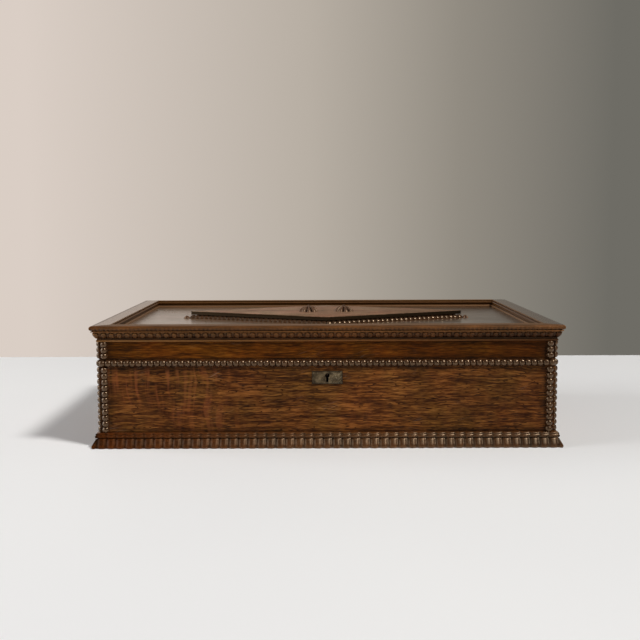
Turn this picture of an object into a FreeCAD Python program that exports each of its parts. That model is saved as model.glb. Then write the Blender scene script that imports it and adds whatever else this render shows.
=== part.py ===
import FreeCAD, Part
import Sketcher
import math
import os
from FreeCAD import Placement, Rotation, Vector

# A small oak box with a hinged lid, in the north European manner of the
# seventeenth century: nailed boards, rippled plinth and cornice mouldings,
# strips of split turned beads, a raised lozenge with two carved bosses on
# the lid, and a box lock behind a brass escutcheon.
# Frame: X along the width, the front looks along -Y, Z up. The origin lies on
# the ground under the middle of the carcase.

SIZES = {
    # carcase of nailed boards
    "case_width": 541,
    "case_depth": 370,
    "case_height": 106,
    "wall_thickness": 14,
    "front_thickness": 15,
    "bottom_thickness": 10,
    # lid: a shallow frame of rails under one panel
    "lid_gap": 0.6,
    "rail_height": 20.9,
    "rail_thickness": 14,
    "panel_thickness": 9,
    # plinth moulding: rippled foot, quirk and rippled torus
    "foot_height": 11.3,
    "foot_reach": 9.5,
    "foot_toe_reach": 8.3,
    "foot_neck_reach": 5.5,
    "foot_nosing": 3.5,
    "quirk_height": 0.7,
    "quirk_reach": 3.4,
    "torus_radius": 3,
    "torus_reach": 6,
    "ripple_pitch": 11.1,
    "foot_ripple_depth": 1,
    "torus_ripple_depth": 0.7,
    # cornice moulding: fillet, groove and a row of rounds
    "fillet_height": 2.1,
    "fillet_reach": 2.5,
    "groove_height": 2,
    "groove_reach": 1.6,
    "rounds_height": 6.6,
    "rounds_foot_reach": 3,
    "rounds_reach": 7,
    "rounds_pitch": 9.3,
    "rounds_gouge_radius": 1.5,
    "rounds_gouge_depth": 1.3,
    # flat border of the lid with its rounded nose and inner moulding
    "undercut_height": 1.4,
    "undercut_reach": 5.5,
    "nose_radius": 3.55,
    "nose_reach": 9.5,
    "band_inset": 11.8,
    "back_band_width": 6,
    "inner_moulding_width": 2.4,
    # split turned beads
    "bead_radius": 4.4,
    "bead_pitch": 7.2,
    "bead_row_drop": 4.7,
    "bead_column_inset": 6.3,
    "bead_clearance": 0.2,
    # raised lozenge of the lid
    "lozenge_half_width": 185,
    "lozenge_half_depth": 90,
    "lozenge_back_shift": 4,
    "lozenge_thickness": 9.8,
    "lozenge_bead_radius": 4.6,
    "lozenge_slab_gap": 0.4,
    "tip_cluster_radius": 5,
    "tip_lobe_radius": 2.2,
    "tip_lobe_inset": 0.3,
    "tip_heart_radius": 2.6,
    "tip_base_thickness": 1,
    "tip_clearance": 0.6,
    # carved bosses
    "boss_radius": 13.5,
    "boss_height": 8,
    "boss_half_spacing": 24,
    "boss_forward_shift": 3,
    "boss_heart_radius": 3,
    "boss_petal_width": 8.5,
    "boss_groove_radius": 1.2,
    "boss_groove_depth": 0.7,
    "boss_groove_inner": 4.9,
    # escutcheon and keyhole
    "escutcheon_width": 36.5,
    "escutcheon_height": 15.6,
    "escutcheon_thickness": 1.2,
    "escutcheon_drop": 22,
    "keyhole_head_radius": 2.7,
    "keyhole_slot_width": 2.8,
    "keyhole_height": 10.7,
    "pin_inset": 2.2,
    "pin_radius": 0.6,
    "pin_gap": 0.3,
    "pin_head_radius": 1.1,
    "pin_head_height": 0.5,
    # box lock let into the front board
    "lock_width": 60,
    "lock_drop": 38,
    "lock_depth": 11.5,
    "lock_wall": 1.4,
    "lock_flange": 8,
    "lock_fit": 0.2,
    "key_pin_radius": 1,
    "lock_screw_radius": 1.3,
    "lock_screw_length": 9,
    "lock_screw_head_radius": 2.5,
    "lock_screw_head_height": 1.3,
    # bolt with two prongs, and the keeper under the lid
    "bolt_play": 0.3,
    "bolt_thickness": 3,
    "bolt_bar_height": 4.5,
    "bolt_tail": 8,
    "bolt_post_width": 4,
    "bolt_post_height": 5,
    "bolt_prong_height": 3,
    "bolt_throw": 7,
    "talon_width": 5,
    "talon_depth": 2,
    "staple_half_spacing": 15,
    "staple_thickness": 3,
    "staple_width": 6.8,
    "staple_eye_width": 4.2,
    "staple_eye_play": 0.7,
    "staple_foot": 1.1,
    "staple_clearance": 0.8,
    "keeper_length": 56,
    "keeper_width": 10,
    "keeper_thickness": 1.5,
    "spring_thickness": 0.6,
    "spring_width": 1.6,
    "spring_half_length": 5.5,
    "spring_shift": 7,
    "ledge_height": 3,
    "ledge_clearance": 0.6,
    # butt hinges at the back
    "hinge_inset": 100.5,
    "leaf_length": 50,
    "leaf_width": 12,
    "leaf_thickness": 1.4,
    "knuckle_radius": 3,
    "knuckle_setback": 3.15,
    "knuckle_gap": 0.4,
    "hinge_pin_radius": 1.5,
    "hinge_pin_clearance": 0.05,
    "hinge_screw_radius": 1.2,
    "hinge_screw_length": 10,
    "hinge_screw_head_radius": 2.4,
    "hinge_screw_head_height": 1.2,
    "hinge_screw_spacing": 17,
    # forged nails of the carcase and of the lid
    "nail_radius": 1.1,
    "nail_length": 32,
    "lid_nail_length": 20,
    "nail_head_radius": 2.6,
    "nail_head_height": 1,
    "nail_corner_inset": 40,
    # overrun of the cutting tools past the wood
    "overrun": 1,
}

# Share of the keyhole that lies above the middle of its plate, and share of
# the heart's radius by which its middle lies below the crown of a boss.
KEYHOLE_RISE_SHARE = 0.46
BOSS_HEART_SUNK_SHARE = 0.6

# Section of the inner moulding of the lid's border, as shares of its width and
# of its height above the panel: low fillet, deep quirk, ovolo, narrow quirk,
# then the upright face under the border.
INNER_MOULDING_SHARES = [
    (0, 0), (1, 0), (1, 0.22), (0.33, 0.27), (0.33, 0.51), (0.92, 0.57), (1, 0.67),
    (0.75, 0.745), (0.375, 0.775), (0.375, 0.843), (0.5, 0.873), (0.5, 1), (0, 1),
]

document = FreeCAD.newDocument("wooden_box")
sheet = document.addObject("Spreadsheet::Sheet", "Sizes")
for row, (alias, number) in enumerate(SIZES.items(), start=1):
    sheet.set(f"A{row}", alias)
    sheet.set(f"B{row}", str(number))
    sheet.setAlias(f"B{row}", alias)
document.recompute()


class Length:
    """A size worked out from the sheet: its number now and its formula."""

    def __init__(self, number, formula):
        self.number = float(number)
        self.formula = formula

    def join(self, sign, other, number):
        other_formula = other.formula if isinstance(other, Length) else f"{other}"
        return Length(number, f"({self.formula} {sign} {other_formula})")

    def __add__(self, other):
        return self.join("+", other, self.number + float(other))

    def __sub__(self, other):
        return self.join("-", other, self.number - float(other))

    def __mul__(self, other):
        return self.join("*", other, self.number * float(other))

    def __rmul__(self, other):
        return self * other

    def __truediv__(self, other):
        return self.join("/", other, self.number / float(other))

    def __neg__(self):
        return Length(-self.number, f"(-{self.formula})")

    def __float__(self):
        return self.number


def size(alias):
    return Length(SIZES[alias], f"Sizes.{alias}")


def root(square):
    return Length(math.sqrt(square.number), f"sqrt({square.formula})")


def arc_tangent(ratio):
    return Length(math.degrees(math.atan(ratio.number)), f"atan({ratio.formula})")


def rounded(ratio):
    return Length(math.floor(ratio.number + 0.5), f"floor({ratio.formula} + 0.5)")


ZERO = Length(0, "0")
overrun = size("overrun")


def bind(piece, **values):
    for name, value in values.items():
        piece.setExpression(name.replace("__", "."), value.formula)


def place(piece, x=ZERO, y=ZERO, z=ZERO, rotation=None):
    piece.Placement = Placement(Vector(), rotation or Rotation())
    bind(piece, Placement__Base__x=x, Placement__Base__y=y, Placement__Base__z=z)
    return piece


def box(name, x, y, z):
    """A board from three (low, high) pairs."""
    board = document.addObject("Part::Box", name)
    bind(board, Length=x[1] - x[0], Width=y[1] - y[0], Height=z[1] - z[0])
    return place(board, x[0], y[0], z[0])


def rod(name, radius, height, x, y, z, rotation=None):
    cylinder = document.addObject("Part::Cylinder", name)
    bind(cylinder, Radius=radius, Height=height)
    return place(cylinder, x, y, z, rotation)


def join(name, pieces):
    fusion = document.addObject("Part::MultiFuse", name)
    fusion.Shapes = pieces
    return fusion


def group(name, pieces):
    bundle = document.addObject("Part::Compound", name)
    bundle.Links = pieces
    return bundle


def cut(name, base, tools):
    """The base less its tools, which may be other pieces let into it."""
    result = document.addObject("Part::Cut", name)
    result.Base = base
    result.Tool = tools[0] if len(tools) == 1 else group(name + "_cutters", tools)
    return result


def new_body(name):
    return document.addObject("PartDesign::Body", name)


def origin_feature(body, role):
    return next(f for f in body.Origin.OriginFeatures if f.Role == role)


def attach(feature, body, plane, x=ZERO, y=ZERO, z=ZERO, rotation=None):
    feature.AttachmentSupport = [(origin_feature(body, plane), "")]
    feature.MapMode = "FlatFace"
    feature.AttachmentOffset = Placement(Vector(), rotation or Rotation())
    bind(feature, AttachmentOffset__Base__x=x, AttachmentOffset__Base__y=y,
         AttachmentOffset__Base__z=z)


def hold_point(sketch, element, vertex, x, y):
    """Ties one end of a sketch element to its place from the origin."""
    for kind, value, axis in (("DistanceX", x, -2), ("DistanceY", y, -1)):
        if value is ZERO:
            sketch.addConstraint(Sketcher.Constraint("PointOnObject", element, vertex, axis))
        else:
            rule = Sketcher.Constraint(kind, -1, 1, element, vertex, value.number)
            number = sketch.addConstraint(rule)
            sketch.setExpression(f"Constraints[{number}]", value.formula)


def outline(body, plane, points, offset=ZERO):
    """A closed sketch of straight lines through the given points."""
    sketch = body.newObject("Sketcher::SketchObject", body.Name + "_outline")
    attach(sketch, body, plane, z=offset)
    corners = [Vector(x.number, y.number, 0) for x, y in points]
    for start, end in zip(corners, corners[1:] + corners[:1]):
        sketch.addGeometry(Part.LineSegment(start, end), False)
    count = len(points)
    for index in range(count):
        follower = (index + 1) % count
        sketch.addConstraint(Sketcher.Constraint("Coincident", index, 2, follower, 1))
    for index, (x, y) in enumerate(points):
        hold_point(sketch, index, 1, x, y)
    return sketch


def pad(body, sketch, length):
    feature = body.newObject("PartDesign::Pad", body.Name + "_pad")
    feature.Profile = sketch
    bind(feature, Length=length)
    body.Tip = feature
    return feature


def pocket_through(body, sketch):
    feature = body.newObject("PartDesign::Pocket", body.Name + "_pocket")
    feature.Profile = sketch
    feature.Type = "ThroughAll"
    feature.SideType = "Symmetric"
    body.Tip = feature
    return feature


def repeat(body, features, count, pitch):
    """Repeats features along the body's X axis."""
    pattern = body.newObject("PartDesign::LinearPattern", body.Name + "_row")
    pattern.Originals = features
    pattern.Direction = (origin_feature(body, "X_Axis"), [""])
    bind(pattern, Length=pitch * (count - 1), Occurrences=count)
    body.Tip = pattern
    return pattern


def gouge(body, radius, start, end, depth, x, first_overrun, last_overrun):
    """A round cutter that runs along a face from start to end, each (reach, z)."""
    run = start[0] - end[0]
    rise = end[1] - start[1]
    slope = root(run * run + rise * rise)
    lean = arc_tangent(run / rise)
    clear = radius - depth
    y = -start[0] - clear * rise / slope - first_overrun * run / slope
    z = start[1] + clear * run / slope - first_overrun * rise / slope
    cutter = body.newObject("PartDesign::SubtractiveCylinder", body.Name + "_gouge")
    bind(cutter, Radius=radius, Height=slope + first_overrun + last_overrun)
    attach(cutter, body, "XY_Plane", x, y, z, Rotation(Vector(-1, 0, 0), abs(lean.number)))
    if lean.number < 0:
        cutter.AttachmentOffset = Placement(Vector(), Rotation(Vector(1, 0, 0), -lean.number))
        lean = -lean
    bind(cutter, AttachmentOffset__Rotation__Angle=lean)
    return cutter


def wave_cutter(name, side, start, end, depth, x_start, pitch, count):
    """A cutter with a scalloped edge that runs up a face from start to end,
    each (reach, z): hollows side by side, as deep as asked, meet in ridges."""
    run = float(start[0] - end[0])
    rise = float(end[1] - start[1])
    low, step, deep, back = (float(part) for part in (x_start, pitch, depth, overrun))
    edges = []
    for number in range(int(count.number)):
        left = low + number * step
        edges.append(Part.Arc(Vector(left, 0, 0), Vector(left + step / 2, deep, 0),
                              Vector(left + step, 0, 0)).toShape())
    right = low + int(count.number) * step
    corners = [Vector(right, 0, 0), Vector(right, -back, 0), Vector(low, -back, 0),
               Vector(low, 0, 0)]
    edges += [Part.makeLine(a, b) for a, b in zip(corners, corners[1:])]
    profile = Part.Face(Part.Wire(edges))
    cutter = document.addObject("Part::Feature", name)
    cutter.Shape = profile.extrude(Vector(0, 0, math.hypot(run, rise)))
    rotation, half_run, x, y = SIDES[side]
    lean = Rotation(Vector(-1, 0, 0), math.degrees(math.atan2(run, rise)))
    cutter.Placement = Placement(Vector(float(x), float(y), 0), rotation).multiply(
        Placement(Vector(0, -float(start[0]), float(start[1])), lean))
    return cutter


# Main levels
half_width = size("case_width") / 2
half_depth = size("case_depth") / 2
case_top = size("case_height")
lid_bottom = case_top + size("lid_gap")
rail_top = lid_bottom + size("rail_height")
panel_top = rail_top + size("panel_thickness")
cornice_top = (rail_top + size("fillet_height") + size("groove_height")
               + size("rounds_height"))
nose_bottom = cornice_top + size("undercut_height")
rim_top = nose_bottom + size("nose_radius") * 2
wall = size("wall_thickness")
rail = size("rail_thickness")
front_inner = size("front_thickness") - half_depth

QUARTER_TURN = 90
UP = Rotation(Vector(0, 1, 0), -QUARTER_TURN)
FRONT = Rotation()
RIGHT = Rotation(Vector(0, 0, 1), QUARTER_TURN)
LEFT = Rotation(Vector(0, 0, 1), -QUARTER_TURN)
INTO_FRONT = Rotation(Vector(1, 0, 0), -QUARTER_TURN)
OUT_OF_FRONT = Rotation(Vector(1, 0, 0), QUARTER_TURN)
UPSIDE_DOWN = Rotation(Vector(1, 0, 0), 2 * QUARTER_TURN)
ALONG_X = Rotation(Vector(0, 1, 0), QUARTER_TURN)

SIDES = {
    "front": (FRONT, half_width, ZERO, -half_depth),
    "left": (LEFT, half_depth, -half_width, ZERO),
    "right": (RIGHT, half_depth, half_width, ZERO),
}


# Fastenings
def fastening(name, radius, length, head_radius, head_height, x, y, z, rotation):
    """Shank with a countersunk head; its top is flush at the given place."""
    shank = rod(name + "_shank", radius, length, ZERO, ZERO, -length)
    head = document.addObject("Part::Cone", name + "_head")
    bind(head, Radius1=radius, Radius2=head_radius, Height=head_height)
    place(head, ZERO, ZERO, -head_height)
    return place(join(name, [shank, head]), x, y, z, rotation)


def fastenings(name, kind, places, rotation, length=None):
    """A set of alike nails or screws at (x, y, z) places."""
    length = length or size(kind + "_length")
    single = [
        fastening(f"{name}_{number}", size(kind + "_radius"), length,
                  size(kind + "_head_radius"), size(kind + "_head_height"), *spot, rotation)
        for number, spot in enumerate(places, start=1)
    ]
    return group(name, single)


nail_x = half_width - size("nail_corner_inset")
side_nail_x = half_width - wall / 2
front_nail_y = size("front_thickness") / 2 - half_depth
back_nail_y = half_depth - wall / 2
side_nail_y = half_depth - size("nail_corner_inset")
case_nails = fastenings("case_nails", "nail", [
    (-nail_x, front_nail_y, ZERO), (ZERO, front_nail_y, ZERO), (nail_x, front_nail_y, ZERO),
    (-nail_x, back_nail_y, ZERO), (ZERO, back_nail_y, ZERO), (nail_x, back_nail_y, ZERO),
    (-side_nail_x, -side_nail_y, ZERO), (-side_nail_x, side_nail_y, ZERO),
    (side_nail_x, -side_nail_y, ZERO), (side_nail_x, side_nail_y, ZERO),
], UPSIDE_DOWN)

lid_nail_y = half_depth - rail / 2
lid_nail_x = half_width - rail / 2
lid_nails = fastenings("lid_nails", "nail", [
    (-nail_x, -lid_nail_y, panel_top), (nail_x, -lid_nail_y, panel_top),
    (-lid_nail_x, -side_nail_y, panel_top), (-lid_nail_x, side_nail_y, panel_top),
    (lid_nail_x, -side_nail_y, panel_top), (lid_nail_x, side_nail_y, panel_top),
], FRONT, size("lid_nail_length"))

# Hinges
hinge_axis_y = half_depth + size("knuckle_setback")
hinge_axis_z = case_top + size("lid_gap") / 2
leaf_half = size("leaf_length") / 2
knuckle_length = (size("leaf_length") - size("knuckle_gap") * 2) / 3
leaf_front = half_depth - size("leaf_width")
leaf_holes = [-size("hinge_screw_spacing"), ZERO, size("hinge_screw_spacing")]
leaf_hole_y = half_depth - size("leaf_width") / 2
hinge_x = half_width - size("hinge_inset")
hinge_places = {"left": -hinge_x, "right": hinge_x}

hinge_screws_case = fastenings("hinge_screws_case", "hinge_screw", [
    (middle + step, leaf_hole_y, case_top)
    for middle in hinge_places.values() for step in leaf_holes
], FRONT)
hinge_screws_lid = fastenings("hinge_screws_lid", "hinge_screw", [
    (middle + step, leaf_hole_y, lid_bottom)
    for middle in hinge_places.values() for step in leaf_holes
], UPSIDE_DOWN)


def knuckle(name, low_x):
    return rod(name, size("knuckle_radius"), knuckle_length, low_x, hinge_axis_y,
               hinge_axis_z, ALONG_X)


def hinge_leaf(name, middle, knuckle_starts, low_z, screws):
    """One leaf: the plate let into the wood, its knuckles and their bore."""
    high_z = low_z + size("leaf_thickness")
    plate = box(name + "_plate", (middle - leaf_half, middle + leaf_half),
                (leaf_front, half_depth), (low_z, high_z))
    pieces = [plate]
    for number, start in enumerate(knuckle_starts, start=1):
        low_x = middle + start
        pieces.append(box(f"{name}_tab_{number}", (low_x, low_x + knuckle_length),
                          (leaf_front, hinge_axis_y), (low_z, high_z)))
        pieces.append(knuckle(f"{name}_knuckle_{number}", low_x))
    bore = rod(name + "_bore", size("hinge_pin_radius") + size("hinge_pin_clearance"),
               size("leaf_length") + overrun * 2, middle - leaf_half - overrun,
               hinge_axis_y, hinge_axis_z, ALONG_X)
    return cut(name, join(name + "_solid", pieces), [bore, screws])


outer_knuckles = [-leaf_half, leaf_half - knuckle_length]
middle_knuckle = [-knuckle_length / 2]
case_leaf_low = case_top - size("leaf_thickness")
case_leaves = []
lid_leaves = []
leaf_beds = []
lid_leaf_beds = []
pins = []
for side, middle in hinge_places.items():
    case_leaves.append(hinge_leaf(f"hinge_leaf_case_{side}", middle, outer_knuckles,
                                  case_leaf_low, hinge_screws_case))
    lid_leaves.append(hinge_leaf(f"hinge_leaf_lid_{side}", middle, middle_knuckle,
                                 lid_bottom, hinge_screws_lid))
    leaf_beds.append(box(f"leaf_bed_{side}", (middle - leaf_half, middle + leaf_half),
                         (leaf_front, half_depth + overrun), (case_leaf_low, case_top + overrun)))
    lid_leaf_beds.append(box(
        f"lid_leaf_bed_{side}", (middle - leaf_half, middle + leaf_half),
        (leaf_front, half_depth + overrun),
        (lid_bottom - overrun, lid_bottom + size("leaf_thickness"))))
    pins.append(rod(f"hinge_pin_{side}", size("hinge_pin_radius"), size("leaf_length"),
                    middle - leaf_half, hinge_axis_y, hinge_axis_z, ALONG_X))
hinge_pins = group("hinge_pins", pins)

# Lock
lock_half = size("lock_width") / 2
lock_wall = size("lock_wall")
lock_bottom = case_top - size("lock_drop")
lock_front = front_inner - size("lock_depth")
plate_front = front_inner - lock_wall
works_back = plate_front
works_front = lock_front + lock_wall
selvedge_bottom = case_top - lock_wall
plate_middle = case_top - size("escutcheon_drop")
keyhole_top = plate_middle + size("keyhole_height") * KEYHOLE_RISE_SHARE
keyhole_middle = keyhole_top - size("keyhole_head_radius")
keyhole_bottom = keyhole_top - size("keyhole_height")
flange_half = lock_half + size("lock_flange")

lock_screw_x = lock_half + size("lock_flange") / 2
lock_screw_low = lock_bottom + size("lock_flange") / 2
lock_screw_high = case_top - size("lock_flange")
lock_screws = fastenings("lock_screws", "lock_screw", [
    (-lock_screw_x, front_inner, lock_screw_low), (lock_screw_x, front_inner, lock_screw_low),
    (-lock_screw_x, front_inner, lock_screw_high), (lock_screw_x, front_inner, lock_screw_high),
], INTO_FRONT)

# bolt: a bar that carries two hooks, each a post with a prong that enters the
# eye of a staple
staple_x = [-size("staple_half_spacing"), size("staple_half_spacing")]
key_reach = keyhole_middle - keyhole_bottom
bar_low = keyhole_middle + key_reach - size("talon_depth")
bar_high = bar_low + size("bolt_bar_height")
post_high = bar_high + size("bolt_post_height")
prong_low = post_high - size("bolt_prong_height")
bolt_back = works_back - size("bolt_play") - (size("lock_depth") - lock_wall * 2) / 2 \
    + size("bolt_thickness") / 2 + size("bolt_play")
bolt_front = bolt_back - size("bolt_thickness")
bolt_y = (bolt_front, bolt_back)
staple_half = size("staple_thickness") / 2
prong_reach = size("staple_clearance") + size("bolt_throw") + size("bolt_post_width")
post_offset = staple_half + size("staple_clearance") + prong_reach - size("staple_clearance")
bolt_bar = box("bolt_bar", (staple_x[0] - post_offset,
                            staple_x[1] - post_offset + size("bolt_post_width")
                            + size("bolt_tail")), bolt_y, (bar_low, bar_high))
hook_pieces = []
for number, x in enumerate(staple_x, start=1):
    post_start = x - post_offset
    post_end = post_start + size("bolt_post_width")
    prong_tip = x - staple_half - size("staple_clearance")
    hook_pieces.append(box(f"bolt_post_{number}", (post_start, post_end), bolt_y,
                           (bar_high, post_high)))
    hook_pieces.append(box(f"bolt_prong_{number}", (post_end, prong_tip), bolt_y,
                           (prong_low, post_high)))
bolt_hooks = group("bolt_hooks", hook_pieces)
talon = box("bolt_talon", (-size("talon_width") / 2, size("talon_width") / 2),
            (bolt_front - overrun, bolt_back + overrun),
            (bar_low - overrun, bar_low + size("talon_depth")))
lock_bolt = cut("lock_bolt", bolt_bar, [talon])

# leaf spring bowed between the bolt's bar and the selvedge
spring_half = size("spring_half_length")
spring_thick = size("spring_thickness")
spring_low = bar_high
spring_high = selvedge_bottom - size("bolt_play")
spring_body = new_body("lock_spring")
spring_outline = outline(spring_body, "XZ_Plane", [
    (-spring_half, spring_low), (-spring_half + spring_thick * 2, spring_low),
    (ZERO, spring_high - spring_thick), (spring_half - spring_thick * 2, spring_low),
    (spring_half, spring_low), (spring_thick, spring_high), (-spring_thick, spring_high),
])
pad(spring_body, spring_outline, size("spring_width"))
place(spring_body, -size("spring_shift"),
      bolt_back - (size("bolt_thickness") - size("spring_width")) / 2, ZERO)

# keeper: a plate under the lid's front rail with two hanging staples
keeper_y = (bolt_front + bolt_back) / 2
staple_low = prong_low - size("staple_eye_play") - size("staple_foot")
staple_y = (keeper_y - size("staple_width") / 2, keeper_y + size("staple_width") / 2)
keeper_bar = box("keeper_bar", (-size("keeper_length") / 2, size("keeper_length") / 2),
                 (keeper_y - size("keeper_width") / 2, keeper_y + size("keeper_width") / 2),
                 (lid_bottom, lid_bottom + size("keeper_thickness")))
staples = []
selvedge_cutters = []
play = size("staple_clearance")
for number, x in enumerate(staple_x, start=1):
    staple_stock = box(f"staple_stock_{number}", (x - staple_half, x + staple_half), staple_y,
                       (staple_low, lid_bottom))
    staple_eye = box(
        f"staple_eye_{number}", (x - staple_half - overrun, x + staple_half + overrun),
        (keeper_y - size("staple_eye_width") / 2, keeper_y + size("staple_eye_width") / 2),
        (prong_low - size("staple_eye_play"), post_high + size("staple_eye_play")))
    staples.append(cut(f"staple_{number}", staple_stock, [staple_eye]))
    selvedge_cutters.append(box(
        f"selvedge_slot_{number}", (x - staple_half - play, x + staple_half + play),
        (staple_y[0] - play, staple_y[1] + play),
        (selvedge_bottom - overrun, case_top + overrun)))
keeper_bed = box("keeper_bed", (-size("keeper_length") / 2, size("keeper_length") / 2),
                 (keeper_y - size("keeper_width") / 2, keeper_y + size("keeper_width") / 2),
                 (lid_bottom - overrun, lid_bottom + size("keeper_thickness")))
keeper_screw_x = size("keeper_length") / 2 - size("keeper_width") / 2
keeper_screws = fastenings("keeper_screws", "lock_screw", [
    (-keeper_screw_x, keeper_y, lid_bottom), (keeper_screw_x, keeper_y, lid_bottom),
], UPSIDE_DOWN)
keeper_plate = cut("keeper_plate", keeper_bar, [keeper_screws])
keeper_staples = group("keeper_staples", staples)

# lock case: inner plate with flanges, a tray of walls, and the selvedge
lock_plate = box("lock_plate", (-flange_half, flange_half), (plate_front, front_inner),
                 (lock_bottom, case_top))
lock_tray = box("lock_tray", (-lock_half, lock_half), (works_front, front_inner),
                (lock_bottom, case_top))
lock_hollow = box("lock_hollow", (-lock_half + lock_wall, lock_half - lock_wall),
                  (works_front - overrun, works_back),
                  (lock_bottom + lock_wall, selvedge_bottom))
key_pin_bore = rod("key_pin_bore", size("key_pin_radius"), lock_wall + overrun * 2, ZERO,
                   plate_front - overrun, keyhole_middle, INTO_FRONT)
ledge_top = bar_low - size("bolt_play")
ledge_inner = key_reach + size("ledge_clearance")
ledges = [
    box(f"bolt_ledge_{side}", (low, high), (works_front, works_back),
        (ledge_top - size("ledge_height"), ledge_top))
    for side, low, high in (("left", -lock_half + lock_wall, -ledge_inner),
                            ("right", ledge_inner, lock_half - lock_wall))
]
lock_shell = cut("lock_shell", join("lock_shell_solid", [lock_plate, lock_tray]),
                 [lock_hollow])
lock_case = cut("lock_case", join("lock_case_solid", [lock_shell] + ledges),
                [lock_screws, key_pin_bore] + selvedge_cutters)
lock_key_pin = rod("lock_key_pin", size("key_pin_radius"),
                   size("lock_depth") - lock_wall, ZERO, front_inner, keyhole_middle,
                   OUT_OF_FRONT)


def keyhole(name, low_y, high_y):
    """Round head with a slot below it, through the given thickness."""
    head = rod(name + "_head", size("keyhole_head_radius"), high_y - low_y, ZERO, low_y,
               keyhole_middle, INTO_FRONT)
    slot = box(name + "_slot",
               (-size("keyhole_slot_width") / 2, size("keyhole_slot_width") / 2),
               (low_y, high_y), (keyhole_bottom, keyhole_middle))
    return join(name, [head, slot])


lock_cap = cut("lock_cap", box("lock_cap_plate", (-lock_half, lock_half),
                               (lock_front, works_front), (lock_bottom, case_top)),
               [keyhole("cap_keyhole", lock_front - overrun, works_front + overrun)])
fit = size("lock_fit")
mortise = box("lock_mortise", (-lock_half - fit, lock_half + fit),
              (lock_front - fit, front_inner + overrun), (lock_bottom - fit, case_top + overrun))
plate_bed = box("lock_plate_bed", (-flange_half - fit, flange_half + fit),
                (plate_front, front_inner + overrun), (lock_bottom - fit, case_top + overrun))

# Escutcheon
plate_y = (-half_depth - size("escutcheon_thickness"), -half_depth)
plate_half = size("escutcheon_width") / 2
plate_half_height = size("escutcheon_height") / 2
pin_x = plate_half - size("pin_inset")
pin_z = plate_half_height - size("pin_inset")
pin_length = (size("escutcheon_thickness") + size("front_thickness") - size("lock_depth")
              - size("lock_fit") - size("pin_gap"))


def escutcheon_pin(name, x, z):
    shank = rod(name + "_shank", size("pin_radius"), pin_length, ZERO, ZERO, -pin_length)
    head = rod(name + "_head", size("pin_head_radius"), size("pin_head_height"),
               ZERO, ZERO, ZERO)
    return place(join(name, [shank, head]), x, plate_y[0], z, OUT_OF_FRONT)


escutcheon_pins = group("escutcheon_pins", [
    escutcheon_pin("pin_upper_left", -pin_x, plate_middle + pin_z),
    escutcheon_pin("pin_upper_right", pin_x, plate_middle + pin_z),
    escutcheon_pin("pin_lower_left", -pin_x, plate_middle - pin_z),
    escutcheon_pin("pin_lower_right", pin_x, plate_middle - pin_z),
])
escutcheon = cut("escutcheon", box("escutcheon_plate", (-plate_half, plate_half), plate_y,
                                   (plate_middle - plate_half_height,
                                    plate_middle + plate_half_height)),
                 [keyhole("plate_keyhole", plate_y[0] - overrun, plate_y[1] + overrun),
                  escutcheon_pins])

# Carcase
across = (-half_width, half_width)
between = (wall - half_width, half_width - wall)
wall_z = (size("bottom_thickness"), case_top)
bottom_board = cut("bottom_board", box("bottom_plank", across, (-half_depth, half_depth),
                                       (ZERO, size("bottom_thickness"))), [case_nails])
front_board = cut(
    "front_board", box("front_plank", across, (-half_depth, front_inner), wall_z),
    [case_nails, lock_screws, escutcheon_pins, mortise, plate_bed,
     keyhole("board_keyhole", -half_depth - overrun, lock_front + overrun)])
back_board = cut(
    "back_board", box("back_plank", across, (half_depth - wall, half_depth), wall_z),
    [case_nails, hinge_screws_case] + leaf_beds)
side_y = (front_inner, half_depth - wall)
side_board_left = cut("side_board_left", box(
    "left_plank", (across[0], between[0]), side_y, wall_z), [case_nails])
side_board_right = cut("side_board_right", box(
    "right_plank", (between[1], across[1]), side_y, wall_z), [case_nails])

# Lid
rail_z = (lid_bottom, rail_top)
rail_between = (rail - half_width, half_width - rail)
rail_y = (rail - half_depth, half_depth - rail)
lid_front_rail = cut(
    "lid_front_rail", box("front_rail_plank", across, (-half_depth, rail_y[0]), rail_z),
    [lid_nails, keeper_screws, keeper_bed])
lid_back_rail = cut(
    "lid_back_rail", box("back_rail_plank", across, (rail_y[1], half_depth), rail_z),
    [hinge_screws_lid] + lid_leaf_beds)
lid_side_rail_left = cut("lid_side_rail_left", box(
    "left_rail_plank", (across[0], rail_between[0]), rail_y, rail_z), [lid_nails])
lid_side_rail_right = cut("lid_side_rail_right", box(
    "right_rail_plank", (rail_between[1], across[1]), rail_y, rail_z), [lid_nails])
lid_panel = cut("lid_panel", box("panel_plank", across, (-half_depth, half_depth),
                                 (rail_top, panel_top)), [lid_nails])


# Mouldings
def mitre(body, half_run, outer, inner, low_end, high_end):
    """Cuts the ends at 45 degrees, outward beyond the corner of the carcase."""
    far = half_run + outer + overrun
    near = half_run - inner - overrun
    depth_out = -outer - overrun
    depth_in = inner + overrun
    for wanted, sign in ((low_end, -1), (high_end, 1)):
        if wanted:
            sketch = outline(body, "XY_Plane", [
                (near * sign, depth_in), (far * sign, depth_out), (far * sign, depth_in),
            ])
            pocket_through(body, sketch)


def moulding(name, side, section, outer, inner=ZERO, back_short=ZERO):
    """A straight moulding; section points are (reach, height), outward from the face."""
    rotation, half_run, x, y = SIDES[side]
    body = new_body(name)
    low_mitre = side in ("front", "right")
    high_mitre = side in ("front", "left")
    start = -half_run - outer if low_mitre else -half_run + back_short
    end = half_run + outer if high_mitre else half_run - back_short
    points = [(-reach if reach is not ZERO else ZERO, z) for reach, z in section]
    pad(body, outline(body, "YZ_Plane", points, start), end - start)
    place(body, x, y, ZERO, rotation)
    return body, half_run, start, end, low_mitre, high_mitre


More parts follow.
